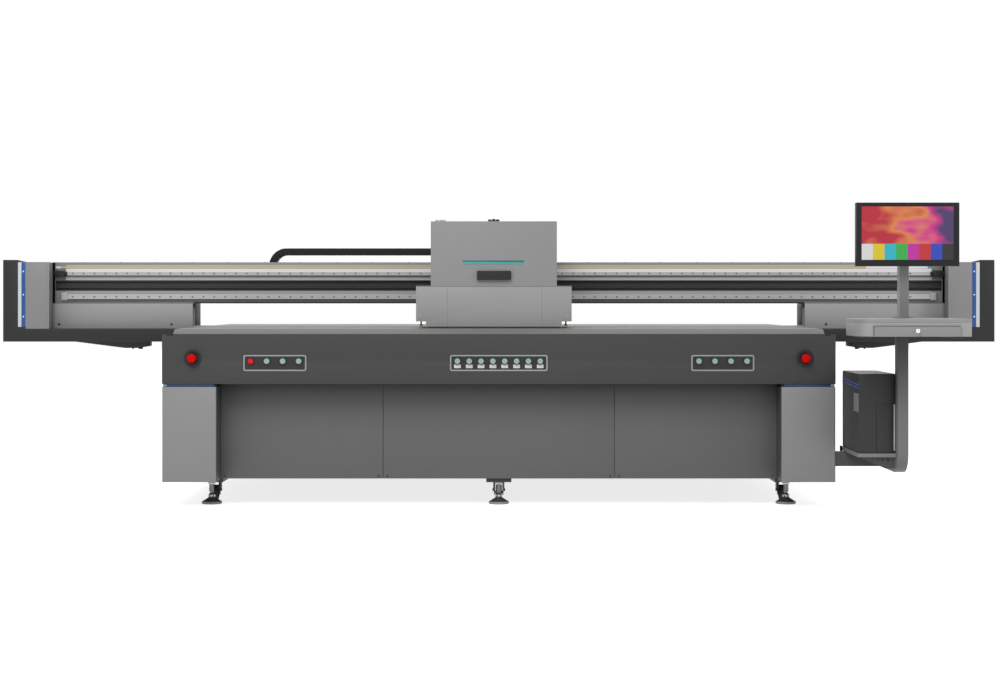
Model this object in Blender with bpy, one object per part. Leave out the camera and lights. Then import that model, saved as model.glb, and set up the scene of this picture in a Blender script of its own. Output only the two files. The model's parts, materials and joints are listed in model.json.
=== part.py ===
"""Flatbed UV printer: fixed table, travelling gantry, head carriage and operator's stand.

Metres, +Z up. Every size is measured from a datum on the floor under the middle of the table's
front edge, with +X to the operator's right and +Y away from the operator. One empty carries the
whole machine, so that the origin is the middle of its footprint.
"""
import math

import bmesh
import bpy
from mathutils import Matrix, Vector

# ---- Fits ----
SEAT = 0.0003  # between faces that touch
RUNNING = 0.0008  # around a rail, a pin or a button's stem
SHEET = 0.003  # wall of a folded cover

# ---- Table and base ----
TABLE_WIDTH = 3.2
TABLE_DEPTH = 2.0
TABLE_TOP = 0.88
TABLE_THICKNESS = 0.08
SIDE_DECK = 0.055  # base beyond the table on each side
REAR_DECK = 0.85  # base behind the table
FASCIA_PROUD = 0.05  # fascia in front of the table's edge
FASCIA_DROP = 0.27  # fascia's lower edge below the table's face
LIP_DROP = 0.024  # sloping lip between the table's face and the fascia
FASCIA_WALL = 0.005
COVER_BOTTOM = 0.128
COVER_GAP = 0.014  # between the side covers and the fascia
CORNER_WIDTH = 0.267
CORNER_ROUND = 0.008
PANEL_SETBACK = 0.10  # recessed front panels behind the table's edge
PANEL_FLANGE = 0.015
PANEL_SEAM = 0.003
PANEL_OVERLAP = 0.03  # of a front panel behind the fascia, against the frame
MIDDLE_PANEL_WIDTH = 1.154

# ---- Frame ----
SILL_HEIGHT = 0.19
GIRDER_WIDTH = 0.277
CROSS_WIDTH = 0.12
LEG_SIZE = 0.12
LEG_FRONT = 0.05  # leg's front face before its foot
FRAME_INSET = 0.05  # frame's back face before the rear cover
FOOT_INSET = 0.22  # front foot behind the fascia's face
BACK_FOOT_INSET = 0.21  # back foot before the frame's back face
SIDE_FOOT_INSET = 0.213  # outer feet inside the base's sides
FOOT_PLATE = 0.016
FOOT_PLATE_TOP = 0.128
FOOT_PLATE_WIDTH = 0.126
PAD_RADIUS = 0.049
CASTER_BEHIND = 0.13
WHEEL_RADIUS = 0.0375
WHEEL_WIDTH = 0.032
WHEEL_LIFT = 0.008  # wheels hang clear of the floor on the feet
AXLE_RADIUS = 0.005
RAIL_WIDTH = 0.028
RAIL_HEIGHT = 0.026
BLOWER_X = -0.75
BLOWER_RADIUS = 0.15
BLOWER_LENGTH = 0.26

# ---- Buttons ----
BUTTON_DROP = 0.157  # row's middle below the table's face
BUTTON_PITCH = 0.0787
MIDDLE_BUTTON_PITCH = 0.0581
SIDE_ROW_INSET = 0.555  # middle of an outer row inside the base's side
STEM_RADIUS = 0.011
STEM_BEHIND = 0.02  # stem's end behind the fascia
CAP_RADIUS = 0.014
CAP_DEPTH = 0.009
CAP_STANDOFF = 0.006
STOP_INSET = 0.151
STOP_DROP = 0.143
STOP_RADIUS = 0.0235
STOP_STANDOFF = 0.02
STOP_DEPTH = 0.024

# ---- Gantry ----
BEAM_FRONT = 1.132
BEAM_DEPTH = 0.2
BEAM_GAP = 0.124  # beam above the table
BEAM_HEIGHT = 0.2275
BEAM_WALL = 0.012
BEAM_OVERHANG = 0.805  # beam beyond the base on each side
TROUGH_RISE = (0.0697, 0.1266)  # above the beam's underside, as are the rails and the shelf
TROUGH_DEPTH = 0.03
SHELF_RISE = 0.1105
SHELF_MARGIN = 0.013  # chain behind the beam
SHELF_LIP = 0.015  # shelf beyond the chain
X_RAIL_INSET = 0.08
X_RAIL_DEPTH = 0.02
UPPER_RAIL_RISE = (0.155, 0.172)
LOWER_RAIL_RISE = (0.0245, 0.0526)
LEG_OFFSET = 0.033  # leg's inner face beyond the base
LEG_DEPTH = 0.258
BLOCK_TOP = 0.04  # leg's underside above its rail
BLOCK_WALL = 0.007  # rail block beyond its rail
SADDLE_TOP = 0.0135  # above the leg's underside
END_AHEAD = 0.152
END_BEHIND = 0.318
END_HOUSING_WIDTH = 0.16
END_COVER_WIDTH = 0.08
END_COVER_RISE = 0.01
WEDGE_DROP = 0.037
ARM_THICKNESS = 0.07
ARM_CLEARANCE = 0.007
CHAIN_RADIUS = 0.08
CHAIN_HEIGHT = 0.04
CHAIN_WIDTH = 0.08
CHAIN_BEND_X = -1.195
CHAIN_FIXED_X = 0.0
CHAIN_MOVING_X = -0.10

# ---- Carriage and print head ----
HEAD_X = -0.025
HEAD_FRONT = 0.20
SHROUD_WIDTH = 0.785
SHROUD_RISE = 0.21  # shroud's top above the table
SHROUD_STEP = 0.05
SHROUD_STEP_RISE = 0.035
HEAD_CLEARANCE = 0.004  # above the bare table
COVER_WIDTH = 0.636
COVER_HEIGHT = 0.33
HEAD_WALL = 0.004
PLATE_THICKNESS = 0.02
SLIDE_WIDTH = 0.60
BLOCK_LENGTH = 0.09
GUIDE_WIDTH = 0.03
HEAD_PLATE_RISE = 0.15
HEAD_PLATE_THICKNESS = 0.012
HEAD_COLUMNS = 3
HEAD_ROWS = 3
LAMP_WIDTH = 0.085

# ---- Operator's stand ----
STAND_OFFSET = 0.2475  # column's middle beyond the base
STAND_WIDTH = 0.05
COLUMN_FRONT = -0.45
COLUMN_DEPTH = 0.07
ARM_Z = (0.205, 0.276)
ARM_BACK = 0.03
BEND_RADIUS = 0.10
TRAY_OFFSET = 0.043
TRAY_SETBACK = 0.05
TRAY_DEPTH = 0.45
TRAY_RISE = 0.021
TRAY_BOTTOM_RISE = 0.003  # tray's underside above the arm's top
GUSSET_DROP = 0.052
GUSSET_FOOT = 0.045
PC_INSET = 0.0035
PC_WIDTH = 0.1745
PC_DEPTH = 0.43
PC_HEIGHT = 0.3775
DESK_OFFSET = -0.025
DESK_WIDTH = 0.514
DESK_DEPTH = 0.44
DESK_SETBACK = 0.09  # desk's back edge behind the column's front
DESK_BOTTOM = 0.857
DESK_THICKNESS = 0.0805
DESK_ROUND = (0.062, 0.14)  # left corners, along X and along Y
DRAWER_INSET = 0.067  # drawer's front inside the desk's left side
DRAWER_WIDTH = 0.3905
DRAWER_FRONT_HEIGHT = 0.046
DRAWER_FACE = 0.012
DRAWER_WALL = 0.004
DRAWER_DEPTH = 0.34
DRAWER_FIT = 0.0015
KNOB_RADIUS = 0.01
KNOB_LENGTH = 0.024
KNOB_OFFSET = -0.0135  # knob's middle from the column's
POST_OFFSET = 0.0145  # post's middle beyond the column's
POST_WIDTH = 0.043
POST_DEPTH = 0.06
POST_SETBACK = 0.045
TILT_AHEAD = 0.02
TILT_Z = 1.332
EAR_RADIUS = 0.012
EAR_THICKNESS = 0.008
PIN_RADIUS = 0.004
MONITOR_OFFSET = 0.021
MONITOR_WIDTH = 0.483
MONITOR_BELOW = 0.1506  # monitor's edges below and above its tilt pin
MONITOR_ABOVE = 0.148
MONITOR_DEPTH = 0.04

# ---- Worked out: base ----
FASCIA_FRONT = -FASCIA_PROUD
FASCIA_BOTTOM = TABLE_TOP - FASCIA_DROP
FASCIA_TOP = TABLE_TOP - LIP_DROP
COVER_TOP = FASCIA_BOTTOM - COVER_GAP
TABLE_HALF = TABLE_WIDTH / 2
BASE_HALF = TABLE_HALF + SIDE_DECK
BASE_BACK = TABLE_DEPTH + REAR_DECK
FRAME_TOP = TABLE_TOP - TABLE_THICKNESS
FRAME_BOTTOM = FRAME_TOP - SILL_HEIGHT
FRAME_FRONT = PANEL_SETBACK + PANEL_FLANGE + SEAT
FRAME_BACK = BASE_BACK - FRAME_INSET
RAIL_X = (TABLE_HALF + BASE_HALF) / 2
RAIL_TOP = FRAME_TOP + RAIL_HEIGHT
SIDE_FOOT_X = BASE_HALF - SIDE_FOOT_INSET
FOOT_Y = (FASCIA_FRONT + FOOT_INSET, FRAME_BACK - BACK_FOOT_INSET)
FOOT_X = (-SIDE_FOOT_X, 0.0, SIDE_FOOT_X)
WHEEL_Z = WHEEL_LIFT + WHEEL_RADIUS
BUTTON_HEIGHT = TABLE_TOP - BUTTON_DROP
STOP_HEIGHT = TABLE_TOP - STOP_DROP
SIDE_ROW_X = BASE_HALF - SIDE_ROW_INSET
STOP_X = BASE_HALF - STOP_INSET

# ---- Worked out: gantry ----
BEAM_BOTTOM = TABLE_TOP + BEAM_GAP
BEAM_TOP = BEAM_BOTTOM + BEAM_HEIGHT
BEAM_BACK = BEAM_FRONT + BEAM_DEPTH
BEAM_HALF_LENGTH = BASE_HALF + BEAM_OVERHANG
TROUGH = tuple(BEAM_BOTTOM + rise for rise in TROUGH_RISE)
SHELF_TOP = BEAM_BOTTOM + SHELF_RISE
UPPER_RAIL = tuple(BEAM_BOTTOM + rise for rise in UPPER_RAIL_RISE)
LOWER_RAIL = tuple(BEAM_BOTTOM + rise for rise in LOWER_RAIL_RISE)
X_RAIL_HALF_LENGTH = BEAM_HALF_LENGTH - X_RAIL_INSET
RAIL_FACE = BEAM_FRONT - X_RAIL_DEPTH
LEG_INNER = BASE_HALF + LEG_OFFSET
LEG_BACK = BEAM_FRONT + LEG_DEPTH
LEG_BOTTOM = RAIL_TOP + BLOCK_TOP
END_FRONT = BEAM_FRONT - END_AHEAD
END_BACK = BEAM_FRONT + END_BEHIND
END_INNER = BEAM_HALF_LENGTH + SEAT
END_OUTER = END_INNER + END_HOUSING_WIDTH
END_COVER_TOP = BEAM_TOP + END_COVER_RISE
ARM_BOTTOM = LEG_BOTTOM - ARM_THICKNESS
CHAIN_Y = (BEAM_BACK + SHELF_MARGIN, BEAM_BACK + SHELF_MARGIN + CHAIN_WIDTH)
CHAIN_LOW = SHELF_TOP + SEAT
CHAIN_MIDDLE = CHAIN_LOW + CHAIN_HEIGHT / 2 + CHAIN_RADIUS
CHAIN_HIGH = CHAIN_LOW + 2 * CHAIN_RADIUS

# ---- Worked out: carriage and print head ----
HEAD_BOTTOM = TABLE_TOP + HEAD_CLEARANCE
SHROUD_TOP = TABLE_TOP + SHROUD_RISE
SHROUD_STEP_TOP = TABLE_TOP + SHROUD_STEP_RISE
HEAD_TOP = SHROUD_TOP + COVER_HEIGHT
HEAD_PLATE = (TABLE_TOP + HEAD_PLATE_RISE, TABLE_TOP + HEAD_PLATE_RISE + HEAD_PLATE_THICKNESS)
SLIDE_BACK = RAIL_FACE - 0.012
SLIDE_FRONT = SLIDE_BACK - PLATE_THICKNESS
GUIDE_FRONT = SLIDE_FRONT - 0.005
HEAD_BACK = GUIDE_FRONT - SEAT

# ---- Worked out: operator's stand ----
STAND_X = BASE_HALF + STAND_OFFSET
TRAY_LEFT = BASE_HALF + TRAY_OFFSET
TRAY_Y = (COLUMN_FRONT + TRAY_SETBACK, COLUMN_FRONT + TRAY_SETBACK + TRAY_DEPTH)
TRAY_TOP = ARM_Z[1] + TRAY_RISE
DESK_X = (BASE_HALF + DESK_OFFSET, BASE_HALF + DESK_OFFSET + DESK_WIDTH)
DESK_Y = (COLUMN_FRONT + DESK_SETBACK - DESK_DEPTH, COLUMN_FRONT + DESK_SETBACK)
DESK_TOP = DESK_BOTTOM + DESK_THICKNESS
DRAWER_X = (DESK_X[0] + DRAWER_INSET, DESK_X[0] + DRAWER_INSET + DRAWER_WIDTH)
DRAWER_FRONT_TOP = DESK_BOTTOM + DRAWER_FRONT_HEIGHT
POST_X = (STAND_X + POST_OFFSET - POST_WIDTH / 2, STAND_X + POST_OFFSET + POST_WIDTH / 2)
POST_Y = (COLUMN_FRONT + POST_SETBACK, COLUMN_FRONT + POST_SETBACK + POST_DEPTH)
TILT_Y = POST_Y[0] - TILT_AHEAD
MONITOR_X = (BASE_HALF + MONITOR_OFFSET, BASE_HALF + MONITOR_OFFSET + MONITOR_WIDTH)
MONITOR_Z = (TILT_Z - MONITOR_BELOW, TILT_Z + MONITOR_ABOVE)
STAND_FRONT = DESK_Y[0] - DRAWER_FACE - KNOB_LENGTH  # the drawer knob reaches furthest forward
ORIGIN_Y = -(STAND_FRONT + BASE_BACK) / 2

COLOURS = {
    "light_paint": ((0.27, 0.27, 0.275), 0.45, 0.0),
    "dark_paint": ((0.074, 0.074, 0.078), 0.45, 0.0),
    "panel_paint": ((0.12, 0.12, 0.125), 0.5, 0.0),
    "frame_paint": ((0.05, 0.05, 0.055), 0.5, 0.0),
    "table_aluminium": ((0.34, 0.34, 0.34), 0.4, 0.6),
    "rail_steel": ((0.45, 0.45, 0.46), 0.3, 1.0),
    "black_plastic": ((0.026, 0.026, 0.028), 0.5, 0.0),
    "button_plastic": ((0.30, 0.38, 0.34), 0.35, 0.0),
    "red_plastic": ((0.75, 0.01, 0.01), 0.35, 0.0),
    "rubber": ((0.015, 0.015, 0.015), 0.8, 0.0),
}


# ---- Making solids ----
def clear_scene():
    """An empty file to build in."""
    for obj in list(bpy.data.objects):
        bpy.data.objects.remove(obj, do_unlink=True)


def material_of(name):
    """The Principled material of one finish, made once."""
    found = bpy.data.materials.get(name)
    if found:
        return found
    colour, roughness, metallic = COLOURS[name]
    made = bpy.data.materials.new(name)
    made.use_nodes = True
    shader = made.node_tree.nodes["Principled BSDF"]
    shader.inputs["Base Color"].default_value = (*colour, 1.0)
    shader.inputs["Roughness"].default_value = roughness
    shader.inputs["Metallic"].default_value = metallic
    return made


def add_object(name, shape, finish, origin=(0, 0, 0)):
    """An object from a bmesh given in the datum's frame, its own origin at a chosen point."""
    bmesh.ops.recalc_face_normals(shape, faces=shape.faces)
    mesh = bpy.data.meshes.new(name)
    shape.to_mesh(mesh)
    shape.free()
    mesh.transform(Matrix.Translation(-Vector(origin)))
    mesh.materials.append(material_of(finish))
    obj = bpy.data.objects.new(name, mesh)
    obj.location = origin
    bpy.context.scene.collection.objects.link(obj)
    return obj


def box(name, x, y, z, finish="dark_paint", origin=(0, 0, 0)):
    """A block between two corners."""
    shape = bmesh.new()
    bmesh.ops.create_cube(shape, size=1)
    middle = Vector([(lo + hi) / 2 for lo, hi in (x, y, z)])
    size = Vector([hi - lo for lo, hi in (x, y, z)])
    bmesh.ops.scale(shape, vec=size, verts=shape.verts)
    bmesh.ops.translate(shape, vec=middle, verts=shape.verts)
    return add_object(name, shape, finish, origin)


def prism(name, outline, axis, span, finish="dark_paint", origin=(0, 0, 0)):
    """An outline of (u, v) points drawn across an axis and pushed along it.

    Across x the points are (y, z), across y they are (x, z), across z they are (x, y).
    """
    places = {
        "x": lambda u, v, w: (w, u, v),
        "y": lambda u, v, w: (u, w, v),
        "z": lambda u, v, w: (u, v, w),
    }
    shape = bmesh.new()
    corners = [shape.verts.new(places[axis](u, v, span[0])) for u, v in outline]
    face = shape.faces.new(corners)
    pushed = bmesh.ops.extrude_face_region(shape, geom=[face])
    moved = [part for part in pushed["geom"] if isinstance(part, bmesh.types.BMVert)]
    bmesh.ops.translate(shape, vec=Vector(places[axis](0, 0, span[1] - span[0])), verts=moved)
    return add_object(name, shape, finish, origin)


def turned(name, profile, axis, centre, finish="dark_paint", segments=16, origin=None):
    """A turned solid: (radius, height) points around an axis through centre.

    A profile that starts and ends on the axis closes there; any other is a ring.
    """
    turns = {"x": Matrix.Rotation(math.pi / 2, 4, "Y"), "y": Matrix.Rotation(-math.pi / 2, 4, "X")}
    shape = bmesh.new()
    points = [shape.verts.new((radius, 0, height)) for radius, height in profile]
    ring = profile[0][0] > 0
    pairs = list(zip(points, points[1:] + points[:1])) if ring else list(zip(points, points[1:]))
    edges = [shape.edges.new(pair) for pair in pairs]
    bmesh.ops.spin(
        shape, geom=points + edges, cent=(0, 0, 0), axis=(0, 0, 1),
        angle=2 * math.pi, steps=segments, use_merge=True,
    )
    bmesh.ops.remove_doubles(shape, verts=shape.verts, dist=0.00001)
    if axis in turns:
        bmesh.ops.transform(shape, matrix=turns[axis], verts=shape.verts)
    bmesh.ops.translate(shape, vec=Vector(centre), verts=shape.verts)
    made = add_object(name, shape, finish, centre if origin is None else origin)
    made.data.shade_smooth()
    made.data.set_sharp_from_angle(angle=math.radians(40))
    return made


def drill(name, centres, radius, length, segments=16):
    """One cutter with a round pin along Y at each centre."""
    shape = bmesh.new()
    lying = Matrix.Rotation(math.pi / 2, 4, "X")
    for centre in centres:
        place = Matrix.Translation(Vector(centre)) @ lying
        bmesh.ops.create_cone(
            shape, cap_ends=True, segments=segments, radius1=radius, radius2=radius, depth=length, matrix=place
        )
    return add_object(name, shape, "dark_paint")


def hide_tool(tool):
    """A helper solid that only shapes another one."""
    tool.hide_render = True
    tool.display_type = "WIRE"


def combine(target, tool, operation):
    """Cut a helper solid out of a piece, or weld it on."""
    change = target.modifiers.new(tool.name, "BOOLEAN")
    change.operation = operation
    change.object = tool
    change.solver = "EXACT"
    hide_tool(tool)


def cut(target, *tools):
    """Take helper solids away from a piece."""
    for tool in tools:
        combine(target, tool, "DIFFERENCE")


def weld(target, *tools):
    """Add helper solids to a piece."""
    for tool in tools:
        combine(target, tool, "UNION")


def arc(centre, radius, start, end, steps=6):
    """Points along an arc, angles in degrees."""
    angles = [math.radians(start + (end - start) * step / steps) for step in range(steps + 1)]
    return [(centre[0] + radius * math.cos(a), centre[1] + radius * math.sin(a)) for a in angles]


def mirrored(outline, side):
    """An outline of (x, other) points for the left side (-1) or the right side (+1)."""
    return [(side * u, v) for u, v in outline]


def across(side, lo, hi):
    """A span of X on the left side (-1) or the right side (+1), low value first."""
    return tuple(sorted((side * lo, side * hi)))


# ---- Base ----
def make_foot(name, x, y):
    """A levelling foot: pad, ball cup, lock nut and threaded stem, up into the foot plate."""
    profile = [
        (0, 0), (PAD_RADIUS - 0.004, 0), (PAD_RADIUS, 0.004), (PAD_RADIUS - 0.002, 0.013),
        (0.018, 0.031), (0.017, 0.045), (0.010, 0.054),
        (0.010, FOOT_PLATE_TOP - 0.004), (0, FOOT_PLATE_TOP - 0.004),
    ]
    return turned(name, profile, "z", (x, y, 0), "frame_paint", 20, (0, 0, 0))


def make_fork(name, x, y):
    """The two cheeks and the axle of one caster, under its foot plate."""
    cheek = 0.006
    half = WHEEL_WIDTH / 2 + 0.002
    under_plate = FOOT_PLATE_TOP - 0.005
    outline = [(y - 0.028, under_plate), *arc((y, WHEEL_Z), 0.014, 180, 360, 6), (y + 0.028, under_plate)]
    pieces = []
    for number, inner in enumerate((-half - cheek, half)):
        pieces.append(prism(f"{name}_cheek_{number}", outline, "x", (x + inner, x + inner + cheek)))
    axle = [(0, -half - 0.002), (AXLE_RADIUS, -half - 0.002), (AXLE_RADIUS, half + 0.002), (0, half + 0.002)]
    pieces.append(turned(f"{name}_axle", axle, "x", (x, y, WHEEL_Z), segments=12, origin=(0, 0, 0)))
    return pieces


def make_frame():
    """The welded base frame: side girders, cross beams, spine, six legs, feet and caster forks."""
    top = (FRAME_BOTTOM, FRAME_TOP)
    inner = BASE_HALF - SHEET - SEAT - GIRDER_WIDTH
    cross_x = (-inner - 0.01, inner + 0.01)
    middle = (FRAME_FRONT + FRAME_BACK) / 2
    frame = box("base_frame", cross_x, (FRAME_FRONT, FRAME_FRONT + CROSS_WIDTH), top, "frame_paint")
    weld(frame, box("cross_middle", cross_x, (middle - CROSS_WIDTH / 2, middle + CROSS_WIDTH / 2), top))
    weld(frame, box("cross_back", cross_x, (FRAME_BACK - CROSS_WIDTH, FRAME_BACK), top))
    weld(frame, box("spine", (-LEG_SIZE / 2, LEG_SIZE / 2), (FRAME_FRONT + 0.01, FRAME_BACK - 0.01), top))
    for side in (-1, 1):
        girder_x = across(side, inner, inner + GIRDER_WIDTH)
        weld(frame, box(f"girder_{side}", girder_x, (FRAME_FRONT, FRAME_BACK), top))
    for row, foot_y in enumerate(FOOT_Y):
        for column, foot_x in enumerate(FOOT_X):
            name = f"{row}_{column}"
            leg_y = (foot_y - LEG_FRONT, foot_y - LEG_FRONT + LEG_SIZE)
            plate_x = (foot_x - FOOT_PLATE_WIDTH / 2, foot_x + FOOT_PLATE_WIDTH / 2)
            plate_y = (foot_y - LEG_FRONT - 0.002, foot_y + CASTER_BEHIND + 0.05)
            leg = box(f"leg_{name}", (foot_x - LEG_SIZE / 2, foot_x + LEG_SIZE / 2), leg_y,
                      (FOOT_PLATE_TOP - 0.002, FRAME_BOTTOM + 0.01))
            plate = box(f"plate_{name}", plate_x, plate_y, (FOOT_PLATE_TOP - FOOT_PLATE, FOOT_PLATE_TOP))
            weld(frame, leg, plate, make_foot(f"foot_{name}", foot_x, foot_y))
            weld(frame, *make_fork(f"fork_{name}", foot_x, foot_y + CASTER_BEHIND))
    return frame


def make_wheels():
    """Six caster wheels, each a tyred wheel with a bore that runs on its axle."""
    rows = ("front", "back")
    columns = ("left", "middle", "right")
    half = WHEEL_WIDTH / 2
    bore = AXLE_RADIUS + RUNNING
    profile = [
        (bore, -half - 0.001), (0.012, -half - 0.001), (0.013, -half + 0.004), (0.026, -half + 0.004),
        (0.028, -half), (WHEEL_RADIUS - 0.004, -half), (WHEEL_RADIUS, -half + 0.006),
        (WHEEL_RADIUS, half - 0.006), (WHEEL_RADIUS - 0.004, half), (0.028, half),
        (0.026, half - 0.004), (0.013, half - 0.004),
        (0.012, half + 0.001), (bore, half + 0.001),
    ]
    for row, foot_y in zip(rows, FOOT_Y):
        for column, foot_x in zip(columns, FOOT_X):
            centre = (foot_x, foot_y + CASTER_BEHIND, WHEEL_Z)
            turned(f"caster_wheel_{row}_{column}", profile, "x", centre, "rubber", 20)


def make_table():
    """The vacuum table, a flat slab on the frame."""
    table_z = (FRAME_TOP + SEAT, TABLE_TOP)
    box("vacuum_table", (-TABLE_HALF, TABLE_HALF), (0, TABLE_DEPTH), table_z, "table_aluminium")


def button_places():
    """Name and X of each push button, in three rows across the fascia."""
    places = []
    for index in range(4):
        offset = (index - 1.5) * BUTTON_PITCH
        places.append((f"button_left_{index + 1}", -SIDE_ROW_X + offset))
        places.append((f"button_right_{index + 1}", SIDE_ROW_X + offset))
    for index in range(8):
        places.append((f"button_middle_{index + 1}", (index - 3.5) * MIDDLE_BUTTON_PITCH))
    return places


def make_fascia():
    """The folded front fascia with its sloping lip up to the table's edge, bored for the buttons."""
    front, wall = FASCIA_FRONT, FASCIA_WALL
    outline = [
        (front, FASCIA_BOTTOM), (front, FASCIA_TOP), (-SEAT, TABLE_TOP - SEAT), (-SEAT, TABLE_TOP - wall),
        (front + wall, FASCIA_TOP - wall), (front + wall, FASCIA_BOTTOM + wall),
        (PANEL_SETBACK - 0.01, FASCIA_BOTTOM + wall), (PANEL_SETBACK - 0.01, FASCIA_BOTTOM),
    ]
    fascia = prism("front_fascia", outline, "x", (-BASE_HALF, BASE_HALF), "dark_paint")
    for side in (-1, 1):
        cut(fascia, box(f"lip_end_{side}", across(side, TABLE_HALF, BASE_HALF + 0.01),
                        (FASCIA_FRONT - 0.01, 0.01), (FASCIA_TOP - 0.002, TABLE_TOP + 0.01)))
        cheek = across(side, BASE_HALF - wall, BASE_HALF)
        weld(fascia, box(f"fascia_cheek_{side}", cheek, (front + 0.001, FRAME_FRONT - SEAT),
                         (FASCIA_BOTTOM + 0.001, FRAME_TOP)))
    places = button_places()
    holes = [(x, BUTTON_HEIGHT) for _, x in places]
    holes += [(-STOP_X, STOP_HEIGHT), (STOP_X, STOP_HEIGHT)]
    centres = [(x, front + wall / 2, z) for x, z in holes]
    cut(fascia, drill("fascia_holes", centres, STEM_RADIUS + RUNNING, 6 * wall))
    return places


def make_buttons(places):
    """Push buttons and mushroom emergency stops, each on its own stem through the fascia."""
    back = FASCIA_WALL + STEM_BEHIND
    stem = [(0, back), (STEM_RADIUS, back), (STEM_RADIUS, -CAP_STANDOFF)]
    cap_front = -CAP_STANDOFF - CAP_DEPTH
    edge = 0.002
    cap = [
        (CAP_RADIUS, -CAP_STANDOFF), (CAP_RADIUS, cap_front + edge),
        (CAP_RADIUS - edge, cap_front), (0, cap_front),
    ]
    for name, x in places:
        finish = "red_plastic" if name == "button_left_1" else "button_plastic"
        turned(name, stem + cap, "y", (x, FASCIA_FRONT, BUTTON_HEIGHT), finish, 16)
    stop_stem = [(0, back), (STEM_RADIUS, back), (STEM_RADIUS, -STOP_STANDOFF)]
    face = -STOP_STANDOFF - STOP_DEPTH
    dome = [
        (STOP_RADIUS - 0.004, -STOP_STANDOFF), (STOP_RADIUS, -STOP_STANDOFF - 0.006),
        (STOP_RADIUS, face + 0.009), (STOP_RADIUS - 0.005, face + 0.003), (STOP_RADIUS - 0.012, face),
        (0, face),
    ]
    for name, side in (("emergency_stop_left", -1), ("emergency_stop_right", 1)):
        turned(name, stop_stem + dome, "y", (side * STOP_X, FASCIA_FRONT, STOP_HEIGHT), "red_plastic", 20)


def make_covers():
    """Side covers with their front corners, the three recessed front panels and the rear cover."""
    outer, inner = BASE_HALF, BASE_HALF - CORNER_WIDTH
    front, wall = FASCIA_FRONT, SHEET
    bend = CORNER_ROUND
    outline = [
        (inner, PANEL_SETBACK - SEAT), *arc((inner + bend, front + bend), bend, 180, 270, 3),
        *arc((outer - bend, front + bend), bend, 270, 360, 3), (outer, BASE_BACK), (outer - wall, BASE_BACK),
        (outer - wall, front + wall), (inner + wall, front + wall), (inner + wall, PANEL_SETBACK - SEAT),
    ]
    for name, side in (("side_cover_left", -1), ("side_cover_right", 1)):
        prism(name, mirrored(outline, side), "z", (COVER_BOTTOM, COVER_TOP), "light_paint")
    seam = PANEL_SEAM / 2
    middle = MIDDLE_PANEL_WIDTH / 2
    spans = {
        "front_panel_left": (-inner + SEAT, -middle - seam),
        "front_panel_middle": (-middle + seam, middle - seam),
        "front_panel_right": (middle + seam, inner - SEAT),
    }
    face, back = PANEL_SETBACK, PANEL_SETBACK + PANEL_FLANGE
    for name, (lo, hi) in spans.items():
        channel = [
            (lo, face), (hi, face), (hi, back), (hi - wall, back),
            (hi - wall, face + wall), (lo + wall, face + wall), (lo + wall, back), (lo, back),
        ]
        prism(name, channel, "z", (COVER_BOTTOM + 0.004, FASCIA_BOTTOM + PANEL_OVERLAP), "panel_paint")
    deck_start, deck_z = TABLE_DEPTH + SEAT, FRAME_TOP + SEAT
    deck = [
        (deck_start, deck_z), (BASE_BACK - wall, deck_z), (BASE_BACK - wall, COVER_BOTTOM),
        (BASE_BACK, COVER_BOTTOM), (BASE_BACK, deck_z + wall), (deck_start, deck_z + wall),
    ]
    deck_half = RAIL_X - RAIL_WIDTH / 2 - 0.008
    prism("rear_cover", deck, "x", (-deck_half, deck_half), "light_paint")


def make_y_rails():
    """Profile rails along the girders, which carry and guide the gantry."""
    half, foot = RAIL_WIDTH / 2, FRAME_TOP + SEAT
    waist = half - 0.004
    for name, side in (("y_rail_left", -1), ("y_rail_right", 1)):
        centre = side * RAIL_X
        outline = [
            (centre - half, foot), (centre + half, foot), (centre + half, foot + 0.008),
            (centre + waist, foot + 0.012), (centre + waist, foot + 0.016),
            (centre + half, RAIL_TOP - 0.005), (centre + half, RAIL_TOP),
            (centre - half, RAIL_TOP), (centre - half, RAIL_TOP - 0.005), (centre - waist, foot + 0.016),
            (centre - waist, foot + 0.012), (centre - half, foot + 0.008),
        ]
        prism(name, outline, "y", (FRAME_FRONT + 0.002, FRAME_BACK), "rail_steel")


def make_blower():
    """The vacuum blower, hung by its bracket from the middle cross beam."""
    x = BLOWER_X
    y = (FRAME_FRONT + FRAME_BACK) / 2
    z = FRAME_BOTTOM - 0.05 - BLOWER_RADIUS
    half = BLOWER_LENGTH / 2
    profile = [
        (0, -half), (BLOWER_RADIUS * 0.6, -half), (BLOWER_RADIUS * 0.6, -0.04), (BLOWER_RADIUS, -0.03),
        (BLOWER_RADIUS, 0.06), (BLOWER_RADIUS * 0.7, 0.08), (BLOWER_RADIUS * 0.7, half), (0, half),
    ]
    blower = turned("vacuum_blower", profile, "x", (x, y, z), "frame_paint", 20, (0, 0, 0))
    bracket_z = (z + 0.08, FRAME_BOTTOM - 0.01)
    bracket = box("blower_bracket", (x - 0.02, x + 0.05), (y - 0.05, y + 0.05), bracket_z)
    plate_z = (FRAME_BOTTOM - 0.014, FRAME_BOTTOM - SEAT)
    plate = box("blower_plate", (x - 0.09, x + 0.12), (y - 0.055, y + 0.055), plate_z)
    weld(blower, bracket, plate)


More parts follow.
